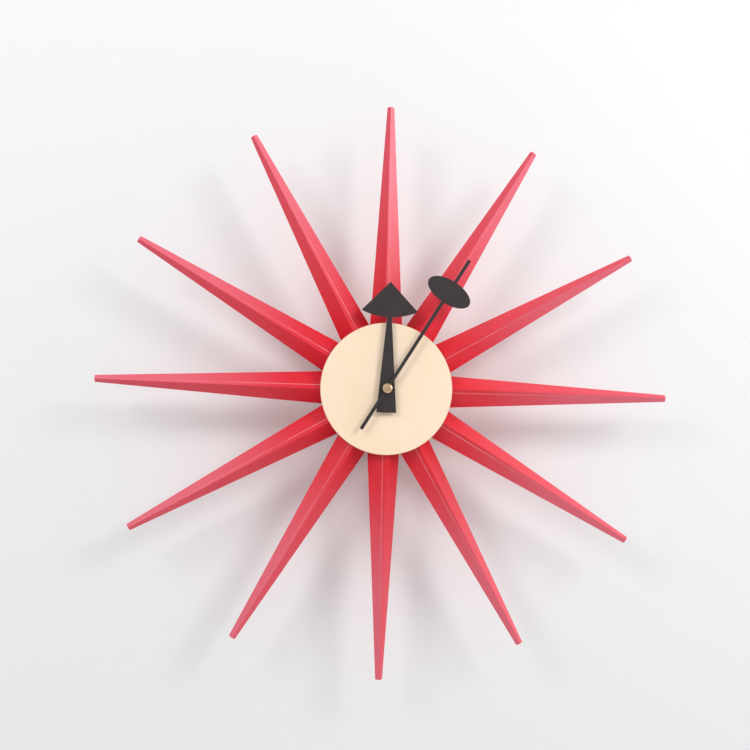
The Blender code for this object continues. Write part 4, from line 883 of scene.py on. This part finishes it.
def make_battery():
    """AA cell: a printed sleeve rolled over both shoulders, a pressed steel cap with its nub, and a
    dished steel base."""
    low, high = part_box("battery")
    radius = (high.z - low.z) / 2
    start, length = low.x, high.x - low.x
    shoulder = length - NUB_HEIGHT
    axis = Matrix.Translation((start, (low.z + high.z) / 2, sum(heights("battery")) / 2))
    lay = axis @ Matrix.Rotation(math.pi / 2, 4, "Y")
    film, roll = SLEEVE_FILM, radius - SLEEVE_ROLL
    plus_round, minus_round, slack = 0.6 * MM, 0.5 * MM, 0.05 * MM
    inside = radius - film - slack
    sleeve = [(roll, shoulder), *arc((radius - plus_round, shoulder - plus_round), plus_round, 90, 0, 6),
              *arc((radius - minus_round, minus_round), minus_round, 0, -90, 6), (roll, 0.0), (roll, film),
              (radius - plus_round, film + slack), (inside, 0.6 * MM), (inside, shoulder - 0.7 * MM),
              (radius - 0.7 * MM, shoulder - film), (roll, shoulder - film)]
    sleeve = moved(turned(sleeve, 96), lay)
    band = start + 0.72 * length
    piece("battery_sleeve", sleeve, "battery", battery_sleeve(band), ["battery"])
    can, bevel, lip = radius - 2 * film, 0.4 * MM, 0.3 * MM
    ledge, slope = 1.2 * MM, 1.6 * MM  # where the step of the cap and of the base begins and ends
    steel = [(0.0, length), (NUB_RADIUS - bevel, length), (NUB_RADIUS, length - bevel),
             (NUB_RADIUS, shoulder - 0.1 * MM), (NUB_RADIUS + ledge, shoulder - lip / 2),
             (NUB_RADIUS + slope, shoulder - lip), (can, shoulder - lip), (can, lip),
             (can - ledge, lip), (can - slope, 0.12 * MM), (0.0, 0.12 * MM)]
    can = moved(turned(steel, 96, ring=False), lay)
    piece("battery_can", can, "battery", ZINC)


make_rays()
make_cup()
make_dial()
make_hanger()
make_clamp()
make_hands()
make_case()
make_cover()
make_knob()
make_battery()

# --- The movement's inner pieces keep their own solids --------------------------------------------
CARRIED_OVER = {
    ACETAL: ["hour_wheel", "minute_wheel", "centre_wheel", "third_wheel", "seconds_wheel",
             "idler_wheel", "rotor_pinion", "coil_spool"],
    BRASS_STANDING: ["minute_arbor", "clutch_spring"],
    ZINC: ["stator", "coil_core", "quartz_crystal", "plus_contact", "minus_contact"],
    FERRITE: ["rotor_magnet"],
    COPPER: ["coil_winding"],
    BOARD: ["circuit_board"],
    RESIN: ["chip_resin"],
}
for finish, nodes in CARRIED_OVER.items():
    for name in nodes:
        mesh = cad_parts[name].data
        mesh.materials.clear()
        mesh.materials.append(finish)


# --- Stage, light and camera ----------------------------------------------------------------------
def sheet(name, size, at, turn, finish):
    """Flat sheet of the stage, facing up before its turn about X."""
    bm = bmesh.new()
    bmesh.ops.create_grid(bm, x_segments=1, y_segments=1, size=size / 2)
    mesh = to_mesh(bm)
    mesh.materials.append(finish)
    obj = bpy.data.objects.new(name, mesh)
    obj.location = at
    obj.rotation_euler = (turn, 0, 0)
    bpy.context.scene.collection.objects.link(obj)
    return obj


def matt_paint(name, shade, one_sided):
    """Matt wall paint, rolled on: nearly white, with the low stipple of the roller. A one-sided one
    is clear from behind."""
    made, shader, tree, place = material(name, {"Roughness": 0.85, "Base Color": colour(shade)})
    stipple = add(tree, "TexNoise", {"Vector": place, "Scale": 1 / (4 * MM), "Detail": 2.0})
    put(shader, {"Normal": add(tree, "Bump", {"Height": stipple, "Distance": 0.05 * MM})})
    if one_sided:
        behind = add(tree, "NewGeometry", {}, "Backfacing")
        clear = add(tree, "BsdfTransparent", {})
        inputs = {0: behind, 1: shader.outputs[0], 2: clear}
        put(tree.nodes["Material Output"], {"Surface": add(tree, "MixShader", inputs)})
    return made


def soft_light(name, at, size, power):
    """Round soft light aimed at the clock."""
    light = bpy.data.lights.new(name, "AREA")
    light.shape = "DISK"
    light.size = size
    light.energy = power
    lamp = bpy.data.objects.new(name, light)
    lamp.location = at
    lamp.rotation_euler = (-Vector(at)).to_track_quat("-Z", "Y").to_euler()
    bpy.context.scene.collection.objects.link(lamp)


FLOOR_LEVEL = -1.3  # from the clock's axis
WALL_CLEARANCE = 2 * MM  # keeps the wall off the back of the clock
wall_paint = matt_paint("wall_paint", "#edeeee", one_sided=True)
wall = sheet("wall", 6.0, (0, WALL_CLEARANCE, 0), math.pi / 2, wall_paint)
wall.visible_shadow = False  # so that the back of the clock is lit when it is seen from behind
floor_paint = matt_paint("floor_paint", "#efefef", one_sided=False)
sheet("floor", 8.0, (0, 0, FLOOR_LEVEL), 0.0, floor_paint)
soft_light("lamp_right", (0.95, -1.15, 0.75), 0.6, 9.5)
soft_light("lamp_left", (-0.95, -1.15, 0.65), 0.6, 7)
soft_light("window_at_the_side", (1.4, -0.12, 0.5), 0.9, 7.5)
soft_light("fill_behind", (0.5, 1.3, 0.6), 1.2, 4)

scene = bpy.context.scene
world = bpy.data.worlds.new("pale_room")
world.use_nodes = True
put(world.node_tree.nodes["Background"], {"Color": colour("#f2f1f3"), "Strength": 0.65})
scene.world = world
scene.view_settings.view_transform = "Standard"

CAMERA_PLACE = Vector((-0.1041, -1.1873, -0.0622))
CAMERA_AIM = Vector((-0.0097, -0.062, 0.0108))
CAMERA_ROLL = math.radians(1.72)
FOCAL_LENGTH = 67.2  # mm
lens = bpy.data.cameras.new("camera")
lens.lens = FOCAL_LENGTH
camera = bpy.data.objects.new("camera", lens)
look = (CAMERA_AIM - CAMERA_PLACE).to_track_quat("-Z", "Y").to_matrix().to_4x4()
camera.matrix_world = Matrix.Translation(CAMERA_PLACE) @ look @ Matrix.Rotation(CAMERA_ROLL, 4, "Z")
scene.collection.objects.link(camera)
scene.camera = camera
